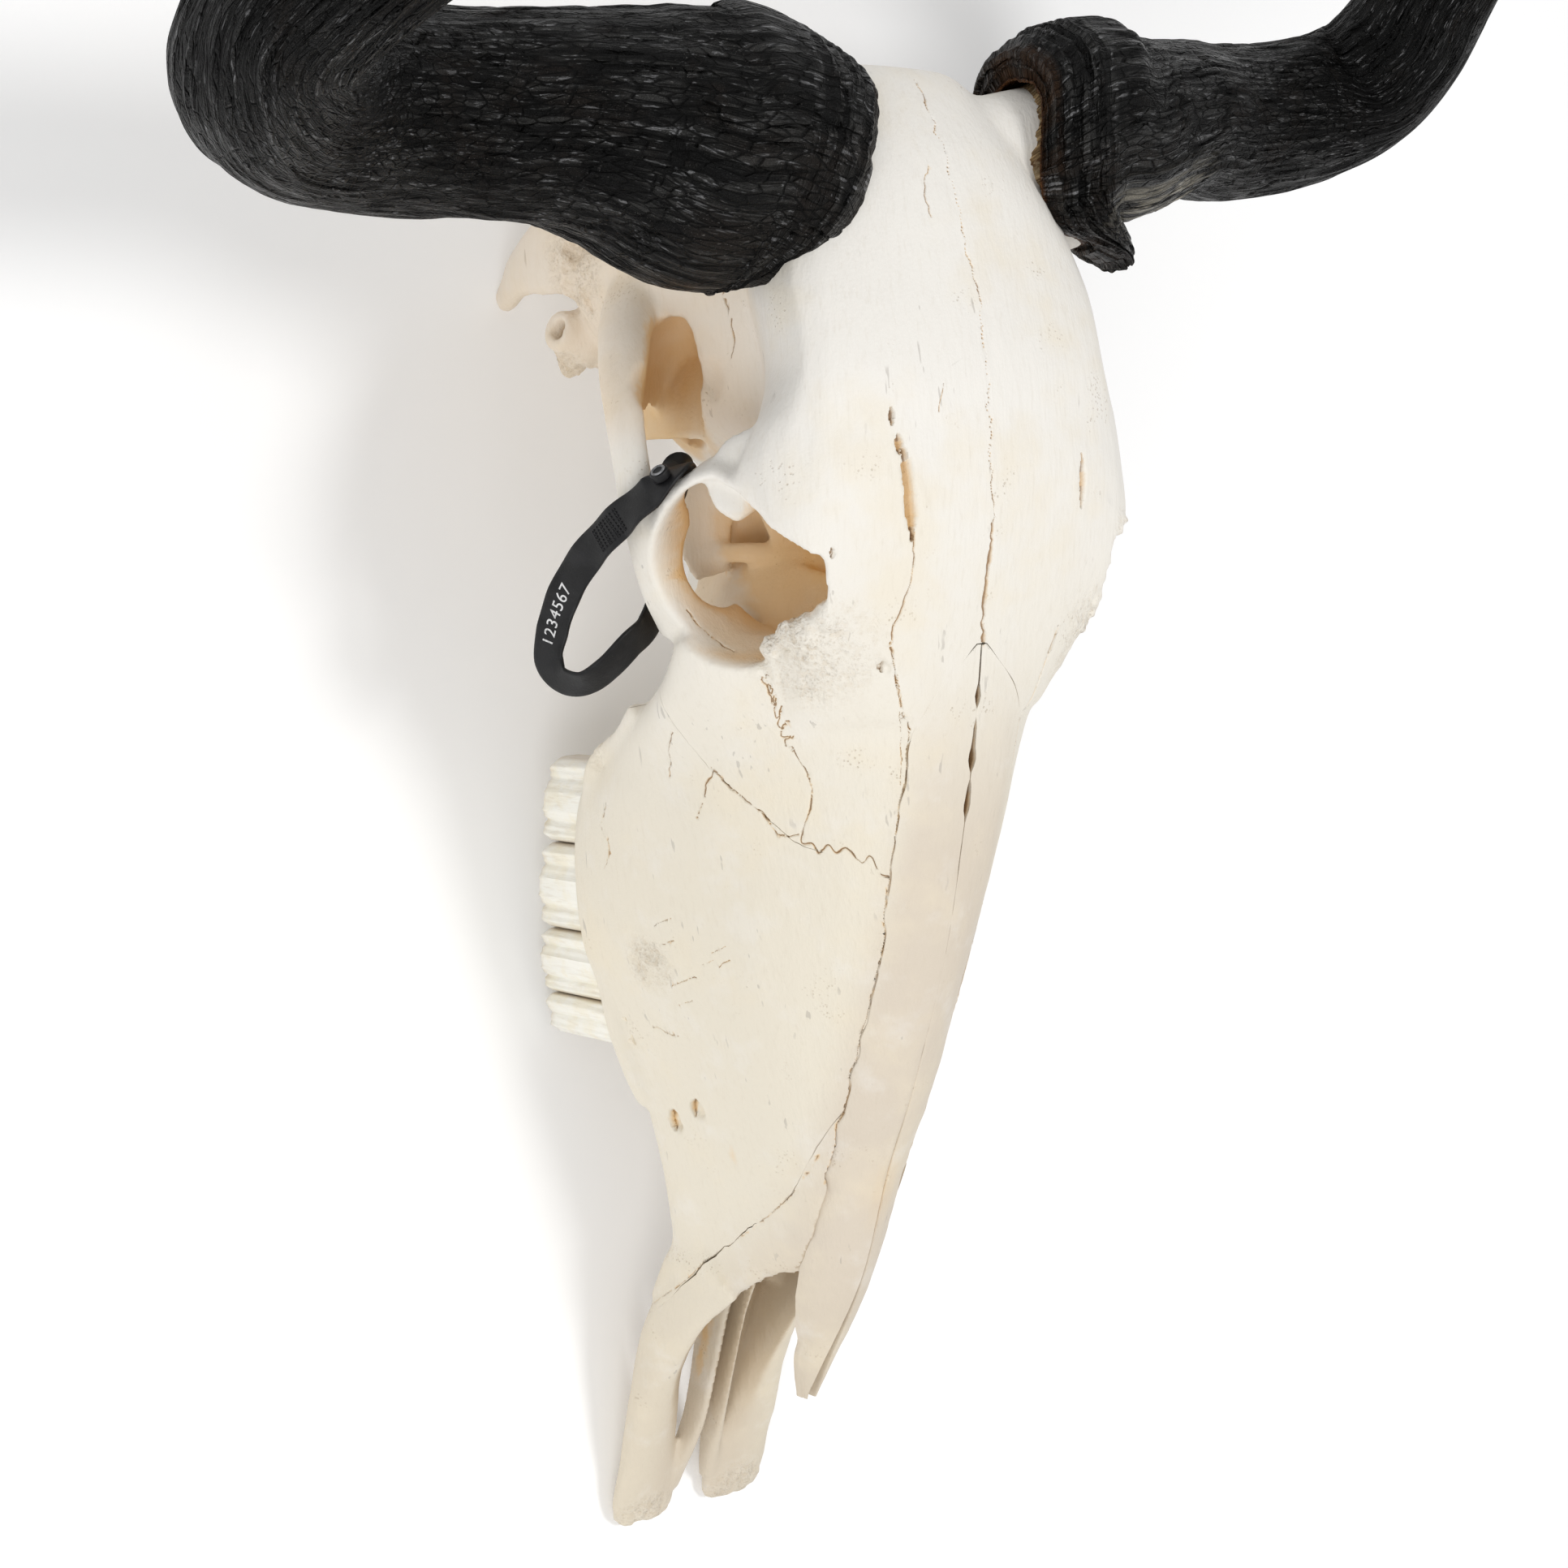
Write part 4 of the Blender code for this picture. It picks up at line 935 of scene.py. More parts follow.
def node(tree, kind, inputs=(), **settings):
    """A node with its settings, and its inputs linked or set."""
    made = tree.nodes.new("ShaderNode" + kind)
    for key, value in settings.items():
        setattr(made, key, value)
    for key, value in dict(inputs).items():
        if isinstance(value, bpy.types.NodeSocket):
            tree.links.new(value, made.inputs[key])
        else:
            made.inputs[key].default_value = value
    return made


def worked(tree, how, first, second=0.0):
    """One step of arithmetic on two values."""
    return node(tree, "Math", {0: first, 1: second}, operation=how).outputs[0]


def both(tree, first, second):
    """Where both values are high: their product."""
    return worked(tree, "MULTIPLY", first, second)


def blend(tree, amount, under, over):
    """The colour under, covered by the colour over as far as amount says."""
    def full(colour):
        return colour if isinstance(colour, bpy.types.NodeSocket) else (*colour, 1)
    return node(tree, "Mix", {0: amount, 6: full(under), 7: full(over)}, data_type="RGBA").outputs[2]


def coated(tree, colour, coats):
    """The colour under coats, each (amount, its share, the coat's colour), the first one lowest."""
    for amount, share, over in coats:
        colour = blend(tree, both(tree, amount, share), colour, over)
    return colour


def between(tree, value, low, high):
    """The value mapped so that low gives 0 and high gives 1, smooth and clamped."""
    return node(tree, "MapRange", {"Value": value, "From Min": low, "From Max": high},
                interpolation_type="SMOOTHSTEP").outputs["Result"]


def mask_group(name, stretch):
    """A shared effect: the share of a noise above a threshold, its cells stretched along one axis."""
    group = bpy.data.node_groups.new(name, "ShaderNodeTree")
    for label, kind in (("Vector", "Vector"), ("Scale", "Float"), ("Low", "Float"), ("High", "Float"),
                        ("Detail", "Float")):
        group.interface.new_socket(label, in_out="INPUT", socket_type="NodeSocket" + kind)
    group.interface.new_socket("Mask", in_out="OUTPUT", socket_type="NodeSocketFloat")
    start = group.nodes.new("NodeGroupInput").outputs
    end = group.nodes.new("NodeGroupOutput")
    drawn = node(group, "VectorMath", {0: start["Vector"], 1: stretch}, operation="MULTIPLY").outputs[0]
    cloud = node(group, "TexNoise", {"Vector": drawn, "Scale": start["Scale"], "Detail": start["Detail"],
                                     "Roughness": 0.6}).outputs["Fac"]
    group.links.new(between(group, cloud, start["Low"], start["High"]), end.inputs["Mask"])
    return group


def mask(tree, group, vector, scale, low, high, detail=4.0):
    made = tree.nodes.new("ShaderNodeGroup")
    made.node_tree = group
    tree.links.new(vector, made.inputs["Vector"])
    for key, value in (("Scale", scale), ("Low", low), ("High", high), ("Detail", detail)):
        made.inputs[key].default_value = value
    return made.outputs["Mask"]


def read(tree, name, output="Fac"):
    """A value or vector that the mesh carries on its points."""
    return node(tree, "Attribute", attribute_name=name).outputs[output]


def heaped(tree, *parts):
    """The sum of (value, share) parts."""
    total = both(tree, *parts[0])
    for part in parts[1:]:
        total = worked(tree, "ADD", total, both(tree, *part))
    return total


def raised(tree, principled, height, strength, distance):
    """Leads a height to the shader's normal."""
    bump = node(tree, "Bump", {"Height": height, "Strength": strength, "Distance": distance})
    tree.links.new(bump.outputs["Normal"], principled.inputs["Normal"])


def roughened(tree, principled, value, low, high):
    """Leads a value from 0 to 1 to the shader's roughness, from low to high."""
    spread = node(tree, "MapRange", {"Value": value, "To Min": low, "To Max": high}).outputs["Result"]
    tree.links.new(spread, principled.inputs["Roughness"])


CREASE = 60
patches = mask_group("patches", (1, 1, 1))
streaks = mask_group("streaks", (1, 0.16, 1))
bone_look, tree, principled = shader("bleached_bone", 0.55, 0.35)
here = node(tree, "TexCoord").outputs["Object"]
parts = node(tree, "SeparateXYZ", {0: here}).outputs
beside = worked(tree, "ABSOLUTE", worked(tree, "SUBTRACT", parts["X"], PLACE.x * MM))
# The strip of the nasal bones down the middle of the muzzle is painted a darker tan.
on_nose = both(tree, between(tree, beside, 0.027, 0.015), between(tree, parts["Y"], 0.03, -0.05))
scratch = both(tree, mask(tree, streaks, here, 330, 0.665, 0.70, 2),
               mask(tree, patches, here, 30, 0.50, 0.60))
pad, hollow, crack = (read(tree, name) for name in ("pad", "hollow", "crack"))
pore = node(tree, "TexVoronoi", {"Vector": here, "Scale": 780}).outputs["Distance"]
pores = worked(tree, "MAXIMUM", both(tree, between(tree, pore, 0.34, 0.10),
                                     mask(tree, patches, here, 45, 0.58, 0.70)),
               both(tree, between(tree, pore, 0.42, 0.12), pad))
# Ochre from the hollow mark: partly a marrow stain, partly painted shade where little sky reaches the bone.
marrow_stain_and_painted_shade = heaped(tree, (both(tree, hollow, mask(tree, patches, here, 28, 0.30, 0.62)), 0.25), (hollow, 0.72))
halo = both(tree, between(tree, crack, 0.02, 0.5), mask(tree, patches, here, 130, 0.40, 0.62))
flaky = mask(tree, patches, here, 430, 0.36, 0.64, 3)
colour = blend(tree, between(tree, parts["Y"], 0.10, -0.06), BONE_TONES["white"], BONE_TONES["cream"])
colour = coated(tree, colour, (
    (on_nose, 0.72, (0.64, 0.55, 0.45)),
    (between(tree, parts["Y"], -0.16, -0.25), 0.60, (0.64, 0.55, 0.42)),
    (mask(tree, patches, here, 22, 0.46, 0.68), 0.42, (0.83, 0.735, 0.56)),
    (mask(tree, patches, here, 60, 0.50, 0.72), 0.30, (0.84, 0.81, 0.76)),
    (mask(tree, streaks, here, 700, 0.50, 0.78), 0.16, (0.60, 0.52, 0.40)),
    (scratch, 0.42, BONE_TONES["grey"]),
    (pores, 0.38, (0.50, 0.37, 0.22)),
    (pad, 0.35, (0.80, 0.73, 0.62)),
    (marrow_stain_and_painted_shade, 0.92, BONE_TONES["ochre"]),
    # Painted shade inside the nose.
    (read(tree, "nose"), 0.72, (0.30, 0.235, 0.16)),
    (halo, 0.45, BONE_TONES["ochre"]),
    (between(tree, crack, 0.45, 0.95), 0.85, BONE_TONES["brown"]),
    (both(tree, pad, between(tree, flaky, 0.45, 0.0)), 0.35, (0.55, 0.43, 0.28))))
tree.links.new(colour, principled.inputs["Base Color"])
fine = node(tree, "TexNoise", {"Vector": here, "Scale": 900, "Detail": 3}).outputs["Fac"]
raised(tree, principled, heaped(tree, (fine, 0.45), (mask(tree, streaks, here, 520, 0.35, 0.75, 2), 0.35),
                                (pores, -1.2), (both(tree, flaky, pad), 2.4)), 0.55, 0.0004)
roughened(tree, principled, fine, 0.46, 0.64)


def handed_in(made, look, slot, *nodes):
    """Scales a finished mesh from millimetres into the frame, gives it its looks and puts it in the
    model."""
    made.data.transform(Matrix.Scale(MM, 4) @ Matrix.Translation(PLACE))
    made.data.materials.clear()
    made.data.materials.append(look)
    only(made)
    bpy.ops.object.shade_smooth_by_angle(angle=math.radians(CREASE))
    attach(made, "root")
    if nodes:
        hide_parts(*nodes)
    return made


for covered, bone in bones.items():
    bone.name = covered + "_bone"
    handed_in(bone, bone_look, "bone", covered)

# The cheek teeth: last premolar and three molars on each side, ivory enamel folded into ribs down the cheek
# side and worn into ridges on the biting face. They stand in sockets along the upper jaw, packed tight
# against each other.
TOOTH_ROW = [(5, -24.9, 3), (-25, -55.9, 3), (-56, -79.9, 3), (-80, -95.5, 2)]
TOOTH_ROUND = 150
TOOTH_GAP = 0.08
ROOT_DEPTH = 12
CROWN_SIZES = (0.975, 0.93, 0.86, 0.76, 0.64, 0.50, 0.35, 0.18, 0.04)
bite_at = track((-96, 6), (-80, 8), (-56, 13), (-25, 19.5), (5, 25.5), (8, 26))
gum_at = track((-96, 44), (-80, 44), (-56, 45), (-25, 47), (5, 50), (8, 50))
outer_at = track((-96, 46), (-88, 49), (-80, 51), (-56, 54.5), (-25, 56), (-5, 55), (5, 53), (8, 52))
inner_at = track((-96, 31), (-80, 31.5), (-56, 33), (-25, 33.5), (5, 35), (8, 35))


def tooth_outline(ribs):
    """The section of a tooth, from -1 to 1 both ways: ribs towards the cheek, plain lobes towards the
    tongue."""
    outline = []
    for turn in turns(TOOTH_ROUND):
        across, ahead = math.cos(turn), math.sin(turn)
        x = math.copysign(abs(across) ** 0.42, across)
        y = math.copysign(abs(ahead) ** 0.62, ahead)
        lobes = (ribs - 1) * (y + 1)
        if across > 0:
            x *= 0.74 + 0.20 * (0.5 + 0.5 * math.cos(math.pi * lobes)) ** 2.2
            x += 0.07 * math.cos(math.pi * (2 * lobes + 1)) + 0.03 * math.cos(math.pi * 5 * lobes)
        else:
            x *= 0.76 + 0.24 * abs(math.sin(math.pi * lobes / 2)) ** 0.6
        outline.append((x, y))
    return np.array(outline)


def tooth(rear, front, ribs):
    """One cheek tooth of the +X row: folded walls from root to bite, closed by a worn face with two
    pits."""
    middle, half = (rear + front) / 2, abs(rear - front) / 2 - TOOTH_GAP
    outline = tooth_outline(ribs)

    def ring(size, part, sink):
        """The outline at a share of its size, on the way from root to bite, sunk below the bite."""
        ys = middle + outline[:, 1] * half * size
        outer, inner, gum, bite = (np.array([at(y) for y in ys])
                                   for at in (outer_at, inner_at, gum_at, bite_at))
        wave = 0.35 * noise(np.column_stack([outline * 5, np.full(len(ys), part * 4)]), (1, 1, 1), 61)
        lean = 1 + 0.05 * part
        xs = (outer + inner) / 2 + outline[:, 0] * (outer - inner) / 2 * size * lean + wave * size
        return np.column_stack([xs, ys, gum + ROOT_DEPTH + (bite - gum - ROOT_DEPTH) * part + sink])

    rings = [ring(0.93 + 0.07 * math.sin(math.pi / 2 * min(k / 12, 1)), k / 26, 0) for k in range(27)]
    for size in CROWN_SIZES:
        lobe = np.abs(np.sin(math.pi * (ribs - 1) * (outline[:, 1] * size + 1) / 2))
        crest = 2.6 * np.clip(outline[:, 0] * size, 0, 1) * lobe ** 1.5
        crest -= 3.0 * smoothstep((0.9 - size) / 0.3) * lobe
        crest += 0.8 * math.cos(size * 17) * lobe * (size < 0.8)
        rings.append(ring(size, 1.0, -0.4 - crest * (1 if size < 0.97 else 0.7)))
    made = loft("tooth", rings)
    spots = spots_of(made)
    gum = np.array([gum_at(y) for y in spots[:, 1]])
    bite = np.array([bite_at(y) for y in spots[:, 1]])
    # The crack mark paints the ends of each tooth, where it meets the next, darker brown.
    return marked(made, neck=smoothstep((spots[:, 2] - gum + 4) / 6),
                  bite=smoothstep((bite + 2 - spots[:, 2]) / 4),
                  crack=smoothstep((np.abs(spots[:, 1] - middle) / half - 0.88) / 0.12))


enamel_look, tree, principled = shader("tooth_enamel", 0.32)
here = node(tree, "TexCoord").outputs["Object"]
rising = mask_group("rising", (1, 1, 0.14))
colour = blend(tree, mask(tree, patches, here, 90, 0.42, 0.66), (0.93, 0.91, 0.83), (0.91, 0.86, 0.72))
colour = coated(tree, colour, (
    (mask(tree, rising, here, 620, 0.50, 0.68), 0.20, (0.52, 0.40, 0.24)),
    (read(tree, "neck"), 0.35, (0.62, 0.46, 0.25)),
    (read(tree, "bite"), 0.30, (0.56, 0.42, 0.25)),
    # Darker brown at the ends of each tooth, where it meets the next.
    (read(tree, "crack"), 0.45, (0.36, 0.23, 0.11))))
tree.links.new(colour, principled.inputs["Base Color"])
raised(tree, principled, mask(tree, rising, here, 420, 0.30, 0.75), 0.4, 0.0003)
for side in ("left", "right"):
    row = joined("row", [tooth(*sizes) for sizes in TOOTH_ROW])
    if side == "right":
        row = flipped(row)
    row.name = "cheek_teeth_" + side
    handed_in(row, enamel_look, "bone")

# The horn sheaths: hollow black keratin, grained along their length and cracked across it, growing over
# bone cores. The right one grips the brow; the left one has slid out on its core, so its folded mouth and
# tan lining show.
HORN_STATIONS = [(44, 182, 165, 38, 27), (53, 186, 166, 40, 30), (66, 190, 166, 41, 31),
                 (80, 191, 165, 40, 31), (95, 195, 162, 37, 30), (108, 198, 160, 33, 29),
                 (124, 201, 156, 30, 28), (142, 202, 151, 29, 27.5), (162, 203, 149, 28.5, 27),
                 (181, 204, 151, 28, 26.5), (198, 206, 158, 27.5, 26.5), (211, 210, 171, 26.5, 25.5),
                 (218, 218, 189, 25, 24.5), (219, 227, 208, 23, 22.5), (216, 236, 228, 20.5, 20),
                 (208, 246, 249, 17.5, 17), (195, 256, 270, 14, 13.5), (178, 265, 290, 9.5, 9),
                 (158, 272, 306, 3.2, 3.2)]
HORN_ROOT, HORN_BEND = Vector((50, 190, 163)), Vector((0, 204, 152))
BROAD_SIDE = Vector((0, -0.35, 0.94))
HORN_ROUND, HORN_ROWS = 340, 236
LINING_ROUND = 300
GRAIN_RADIUS = 34
# The mouths as (place along the horn, inset from its skin), the last place at the outer edge of the lip.
NEAR_MOUTH = [(30, 9), (16, 8), (7, 6.5), (2.5, 5), (0.6, 3.6), (0.0, 2.4), (0.2, 1.2), (1.0, 0.4)]
FAR_MOUTH = [(46, 11), (30, 9.5), (18, 8.6), (9, 7.8), (3, 7.2), (0.8, 6.8), (0.3, 6.2), (1.0, 5.7),
             (2.4, 5.4), (2.6, 4.9), (1.5, 4.5), (1.2, 4.0), (1.9, 3.5), (3.6, 3.2), (3.8, 2.7), (2.6, 2.2),
             (2.5, 1.7), (3.2, 1.1), (4.6, 0.8), (5.0, 0.35)]
LINING_SECTION = [(34, 12.8), (22, 12.0), (13, 11.2), (7, 10.5), (3.5, 10.1), (2.0, 9.8), (1.7, 9.5),
                  (2.4, 9.2), (4.5, 8.8), (8, 8.5), (13, 8.8), (22, 9.6), (34, 10.4)]
# Height and cell of the waves, ropes, fibres and threads of the skin.
HORN_SKIN = [(1.0, (17, 17, 30)), (0.45, (4.6, 4.6, 34)), (0.5, (2.2, 2.2, 16)), (0.22, (1.2, 1.2, 7))]
# Girth, swing about the upright axis, twist about the cross axis, spread of the ends and slip on the core.
LEFT_LIE = (0.92, math.radians(3.0), math.radians(14), -10, (4, 3, 0))
RIGHT_LIE = (1.0, math.radians(-2.0), math.radians(-11), 9, (0, 0, 0))


def horn_course(girth, swing, twist, spread, slip):
    """The horn's middle line, the two directions across it and its two half widths, with the length so
    far."""
    places, sizes = [], []
    for x, y, z, tall, deep in HORN_STATIONS:
        part = min(max((x - 110) / 70, 0.0), 1.0) if z < 200 else 1.0
        x += spread * min(max((z - 165) / 40, 0.0), 1.0) * part
        p = HORN_BEND + Matrix.Rotation(-twist * part, 3, "X") @ (Vector((x, y, z)) - HORN_BEND)
        places.append(HORN_ROOT + Matrix.Rotation(swing, 3, "Z") @ (p - HORN_ROOT) + Vector(slip))
        sizes.append((tall * girth, deep * girth, 0))
    line, sizes = smooth_line(places, 12), smooth_line(sizes, 12)
    rows, gone = [], 0.0
    for i, (centre, size) in enumerate(zip(line, sizes)):
        gone += (centre - line[i - 1]).length if i else 0
        along = (line[min(i + 1, len(line) - 1)] - line[max(i - 1, 0)]).normalized()
        side = along.cross(BROAD_SIDE).normalized()
        rows.append((gone, *centre, *side, *side.cross(along), size.x, size.y))
    return np.array(rows)


def rows_at(course, steps):
    """The course at each (place, inset) step: centre, two directions across, two half widths."""
    return np.column_stack([np.interp(steps[:, 0], course[:, 0], course[:, k]) for k in range(1, 12)])


def grained(steps, count):
    """Every place's turn round the horn, and its place in the grain: round the horn, and along it, in
    millimetres."""
    turn = 2 * np.pi * np.arange(count) / count
    round_it = [np.tile(GRAIN_RADIUS * np.cos(turn), len(steps)),
                np.tile(GRAIN_RADIUS * np.sin(turn), len(steps))]
    return turn, np.column_stack([*round_it, np.repeat(steps[:, 0], count)])


def far_shift(front, top, lip):
    """How far each side of the slid sheath's mouth lies along the core, its upper side nearest to the brow
    and the outer edge of the lip beyond the inner one in front."""
    return ((13 + 8 * lip) * smoothstep(front / 0.9) + 8 * np.maximum(-front, 0) ** 2
            - 9 * smoothstep((top - 0.35) / 0.65))


def horn_skin(grain, seed, collar_fold):
    """How far the skin stands out: waves and fibres, cracks along the grain, and the folds of the
    collar."""
    s = grain[:, 2]
    out = sum(much * noise(grain, cell, seed + k) for k, (much, cell) in enumerate(HORN_SKIN))
    out += 0.16 * noise(grain, (5, 5, 2.6), seed + 4) * smoothstep((130 - s) / 60)
    out += 0.7 * smoothstep((62 - s) / 40) * noise(grain, (9, 9, 7), seed + 5)
    furrow = smoothstep((0.10 - np.abs(noise(grain, (3.4, 3.4, 24), seed + 6))) / 0.10)
    furrow *= smoothstep((noise(grain, (12, 12, 30), seed + 7) + 0.25) / 0.4)
    ridge = np.exp(-((s - 27 - 2 * noise(grain, (14, 14, 99), seed + 8)) / 3.0) ** 2)
    collar = smoothstep((21 - s) / 8)
    out += 0.9 * ridge * smoothstep((10 - grain[:, 0]) / 30) - 0.7 * furrow
    out += collar * collar_fold * np.cos(s * 1.9 + 2.2 * noise(grain, (20, 20, 60), seed + 9))
    out += collar * 0.7 * noise(grain, (22, 22, 5), seed + 10)
    return out, furrow


def sheath(name, mouth, seed, lie):
    """A closed sheath: up the inside of the mouth, over its folds, along the outside to the point."""
    slid = mouth is FAR_MOUTH
    course = horn_course(*lie)
    outer = 6 + (course[-1, 0] - 6) * np.linspace(0, 1, HORN_ROWS) ** 1.32
    steps = np.array(mouth + [(s, 0.0) for s in outer])
    rows = rows_at(course, steps)
    turn, grain = grained(steps, HORN_ROUND)
    s, inset = grain[:, 2], np.repeat(steps[:, 1], HORN_ROUND)
    front, top = grain[:, 0] / GRAIN_RADIUS, grain[:, 1] / GRAIN_RADIUS
    fore, aft = np.maximum(front, 0), np.maximum(-front, 0)
    lip = np.clip(1 - inset / 6, 0, 1)
    out, furrow = horn_skin(grain, seed, 0.9 if slid else 0.35)
    frayed = 0.5 if slid else 0.2
    if slid:
        pinch = 9.5 * smoothstep((112 - s) / 55) + 7 * smoothstep((62 - s) / 34)
        out -= pinch * smoothstep((s - 10) / 15) * fore ** 1.4
        flare = 6.5 * smoothstep((25 - s) / 17) * fore ** 0.5 * lip ** 0.6
        out += flare + 6.5 * smoothstep((46 - s) / 34) * aft ** 1.2
        along = 0.8 * smoothstep((20 - s) / 14) * noise(grain, (11, 11, 60), seed + 11)
        along += smoothstep((60 - s) / 52) * far_shift(front, top, lip)
    else:
        along = 0.3 * smoothstep((20 - s) / 14) * noise(grain, (11, 11, 60), seed + 11)
        along += 8 * smoothstep((26 - s) / 24) * fore ** 2
        along -= 4.2 * smoothstep((30 - s) / 26) * np.maximum(top + 0.25, 0) ** 1.5
    out *= np.clip((course[-1, 0] - s) / 60, 0, 1) * np.where(inset > 5.3, 0.5, 1)
    along += smoothstep((9 - s) / 5) * (frayed * noise(grain, (3, 3, 60), seed + 12)
                                        + np.where(inset > 0, 0.5, 0) * noise(grain, (5, 5, 2), seed + 13))
    wide = np.maximum(rows[:, 9:11] - steps[:, 1:2], 0.4)[:, None, :]
    cos, sin = np.cos(turn)[None, :, None], np.sin(turn)[None, :, None]
    side, deep = rows[:, None, 3:6] * cos, rows[:, None, 6:9] * sin
    spots = rows[:, None, 0:3] + side * wide[:, :, :1] + deep * wide[:, :, 1:]
    spots += (side + deep) * out.reshape(len(steps), HORN_ROUND, 1)
    spots += np.cross(rows[:, 6:9], rows[:, 3:6])[:, None, :] * along.reshape(len(steps), HORN_ROUND, 1)
    made = marked(loft(name, spots), grain=grain, furrow=furrow, inside=smoothstep((inset - 5.2) / 1.2),
                  mouth=np.where(inset > 0, smoothstep((inset + 1) / 3), smoothstep((6 - s) / 6) * 0.4),
                  collar=np.where(inset > 0, 1.0, smoothstep((25 - s) / 9)),
                  pale=smoothstep(1.25 - np.abs(s - 42) / 30) * smoothstep((front + 0.1) / 0.6) * slid)
    if not slid:
        made = flipped(made)
    made.name = name
    return made


def lining(name, lie):
    """The soft layer inside the slid sheath: a thin ragged sleeve between the keratin and the bone core."""
    steps = np.array(LINING_SECTION)
    rows = rows_at(horn_course(*lie), steps)
    turn, grain = grained(steps, LINING_ROUND)
    torn = 1.6 * noise(grain, (6, 6, 90), 91) + 1.1 * noise(grain, (2, 2, 90), 92)
    torn += 0.7 * noise(grain, (0.9, 0.9, 9), 93)
    along = smoothstep((9 - grain[:, 2]) / 6) * torn
    along += smoothstep((60 - grain[:, 2]) / 52) * (far_shift(grain[:, 0] / GRAIN_RADIUS,
                                                              grain[:, 1] / GRAIN_RADIUS, 0) - 1)
    out = 0.35 * noise(grain, (5, 5, 4), 94) + 0.3 * noise(grain, (1.2, 1.2, 3), 95)
    wide = rows[:, None, 9:11] - steps[:, None, 1:2] + out.reshape(len(steps), LINING_ROUND, 1)
    cos, sin = np.cos(turn)[None, :, None], np.sin(turn)[None, :, None]
    spots = rows[:, None, 0:3] + rows[:, None, 3:6] * cos * wide[:, :, :1]
    spots += rows[:, None, 6:9] * sin * wide[:, :, 1:]
    spots += np.cross(rows[:, 6:9], rows[:, 3:6])[:, None, :] * along.reshape(len(steps), LINING_ROUND, 1)
    return marked(loft(name, spots, closed=True), grain=grain)


def grain_of(tree):
    """The mesh's own place in the grain, in metres."""
    return node(tree, "VectorMath", {0: read(tree, "grain", "Vector"), 1: (MM, MM, MM)},
                operation="MULTIPLY").outputs[0]


horn_look, tree, principled = shader("horn_keratin", 0.36, 0.17)
threads = mask_group("threads", (1, 1, 0.10))
ring_marks = mask_group("rings", (0.14, 0.14, 1))
specks = mask_group("specks", (1, 1, 0.24))
grain = grain_of(tree)
collar = read(tree, "collar")
fibre = heaped(tree, (mask(tree, threads, grain, 480, 0.42, 0.60, 3),
                      worked(tree, "SUBTRACT", 1.0, collar)),
               (mask(tree, ring_marks, grain, 430, 0.42, 0.60, 3), collar))
plate = node(tree, "VectorMath", {0: grain, 1: (1, 1, 0.34)}, operation="MULTIPLY").outputs[0]
web = node(tree, "TexVoronoi", {"Vector": plate, "Scale": 420, "Randomness": 1.0},
           feature="DISTANCE_TO_EDGE").outputs["Distance"]
crackle = between(tree, web, 0.10, 0.0)
# Painted shade: the far part of each horn is painted darker, against the fill lamp that lights it.
distal_painted_shade = between(tree, node(tree, "SeparateXYZ", {0: grain}).outputs["Z"], 0.13, 0.19)
glint = both(tree, mask(tree, specks, grain, 1000, 0.56, 0.61, 4),
             mask(tree, patches, grain, 110, 0.36, 0.58))
colour = blend(tree, fibre, (0.0006, 0.0006, 0.0006), (0.027, 0.0265, 0.0255))
colour = coated(tree, colour, (
    (distal_painted_shade, 0.65, (0.004, 0.004, 0.0042)),
    (both(tree, glint, between(tree, fibre, 0.1, 0.6)), 0.95, (0.20, 0.20, 0.205)),
    (mask(tree, patches, grain, 42, 0.50, 0.68), 0.5, (0.016, 0.011, 0.008)),
    (read(tree, "furrow"), 0.8, (0.001, 0.001, 0.001)),
    (crackle, 0.85, (0.0007, 0.0006, 0.0006)),
    (both(tree, mask(tree, patches, grain, 1500, 0.655, 0.70, 2),
          mask(tree, patches, grain, 80, 0.44, 0.62)), 0.5,
     (0.19, 0.18, 0.17)),
    (both(tree, read(tree, "pale"), mask(tree, threads, grain, 520, 0.46, 0.58, 3)), 0.85,
     (0.48, 0.44, 0.36)),
    (both(tree, read(tree, "mouth"), mask(tree, patches, grain, 60, 0.38, 0.62)), 0.75,
     (0.055, 0.026, 0.011)),
    (read(tree, "inside"), 0.9, (0.14, 0.055, 0.018))))
tree.links.new(colour, principled.inputs["Base Color"])
raised(tree, principled, heaped(tree, (fibre, 1.0), (crackle, -0.9),
                                (mask(tree, patches, grain, 1300, 0.3, 0.7, 2), 0.25)), 1.0, 0.0022)
roughened(tree, principled, fibre, 0.52, 0.30)
lining_look, tree, principled = shader("horn_lining", 0.85, 0.2)
grain = grain_of(tree)
fibre = mask(tree, threads, grain, 700, 0.34, 0.66, 5)
colour = blend(tree, fibre, (0.09, 0.045, 0.018), (0.44, 0.30, 0.15))
colour = coated(tree, colour, ((mask(tree, patches, grain, 120, 0.52, 0.62), 0.5, (0.62, 0.50, 0.32)),))
tree.links.new(colour, principled.inputs["Base Color"])
raised(tree, principled, fibre, 1.0, 0.0008)
handed_in(sheath("horn_left_sheath", FAR_MOUTH, 70, LEFT_LIE), horn_look, "horn", "horn_left")
handed_in(sheath("horn_right_sheath", NEAR_MOUTH, 80, RIGHT_LIE), horn_look, "horn", "horn_right")
handed_in(lining("horn_left_lining", LEFT_LIE), lining_look, "horn")

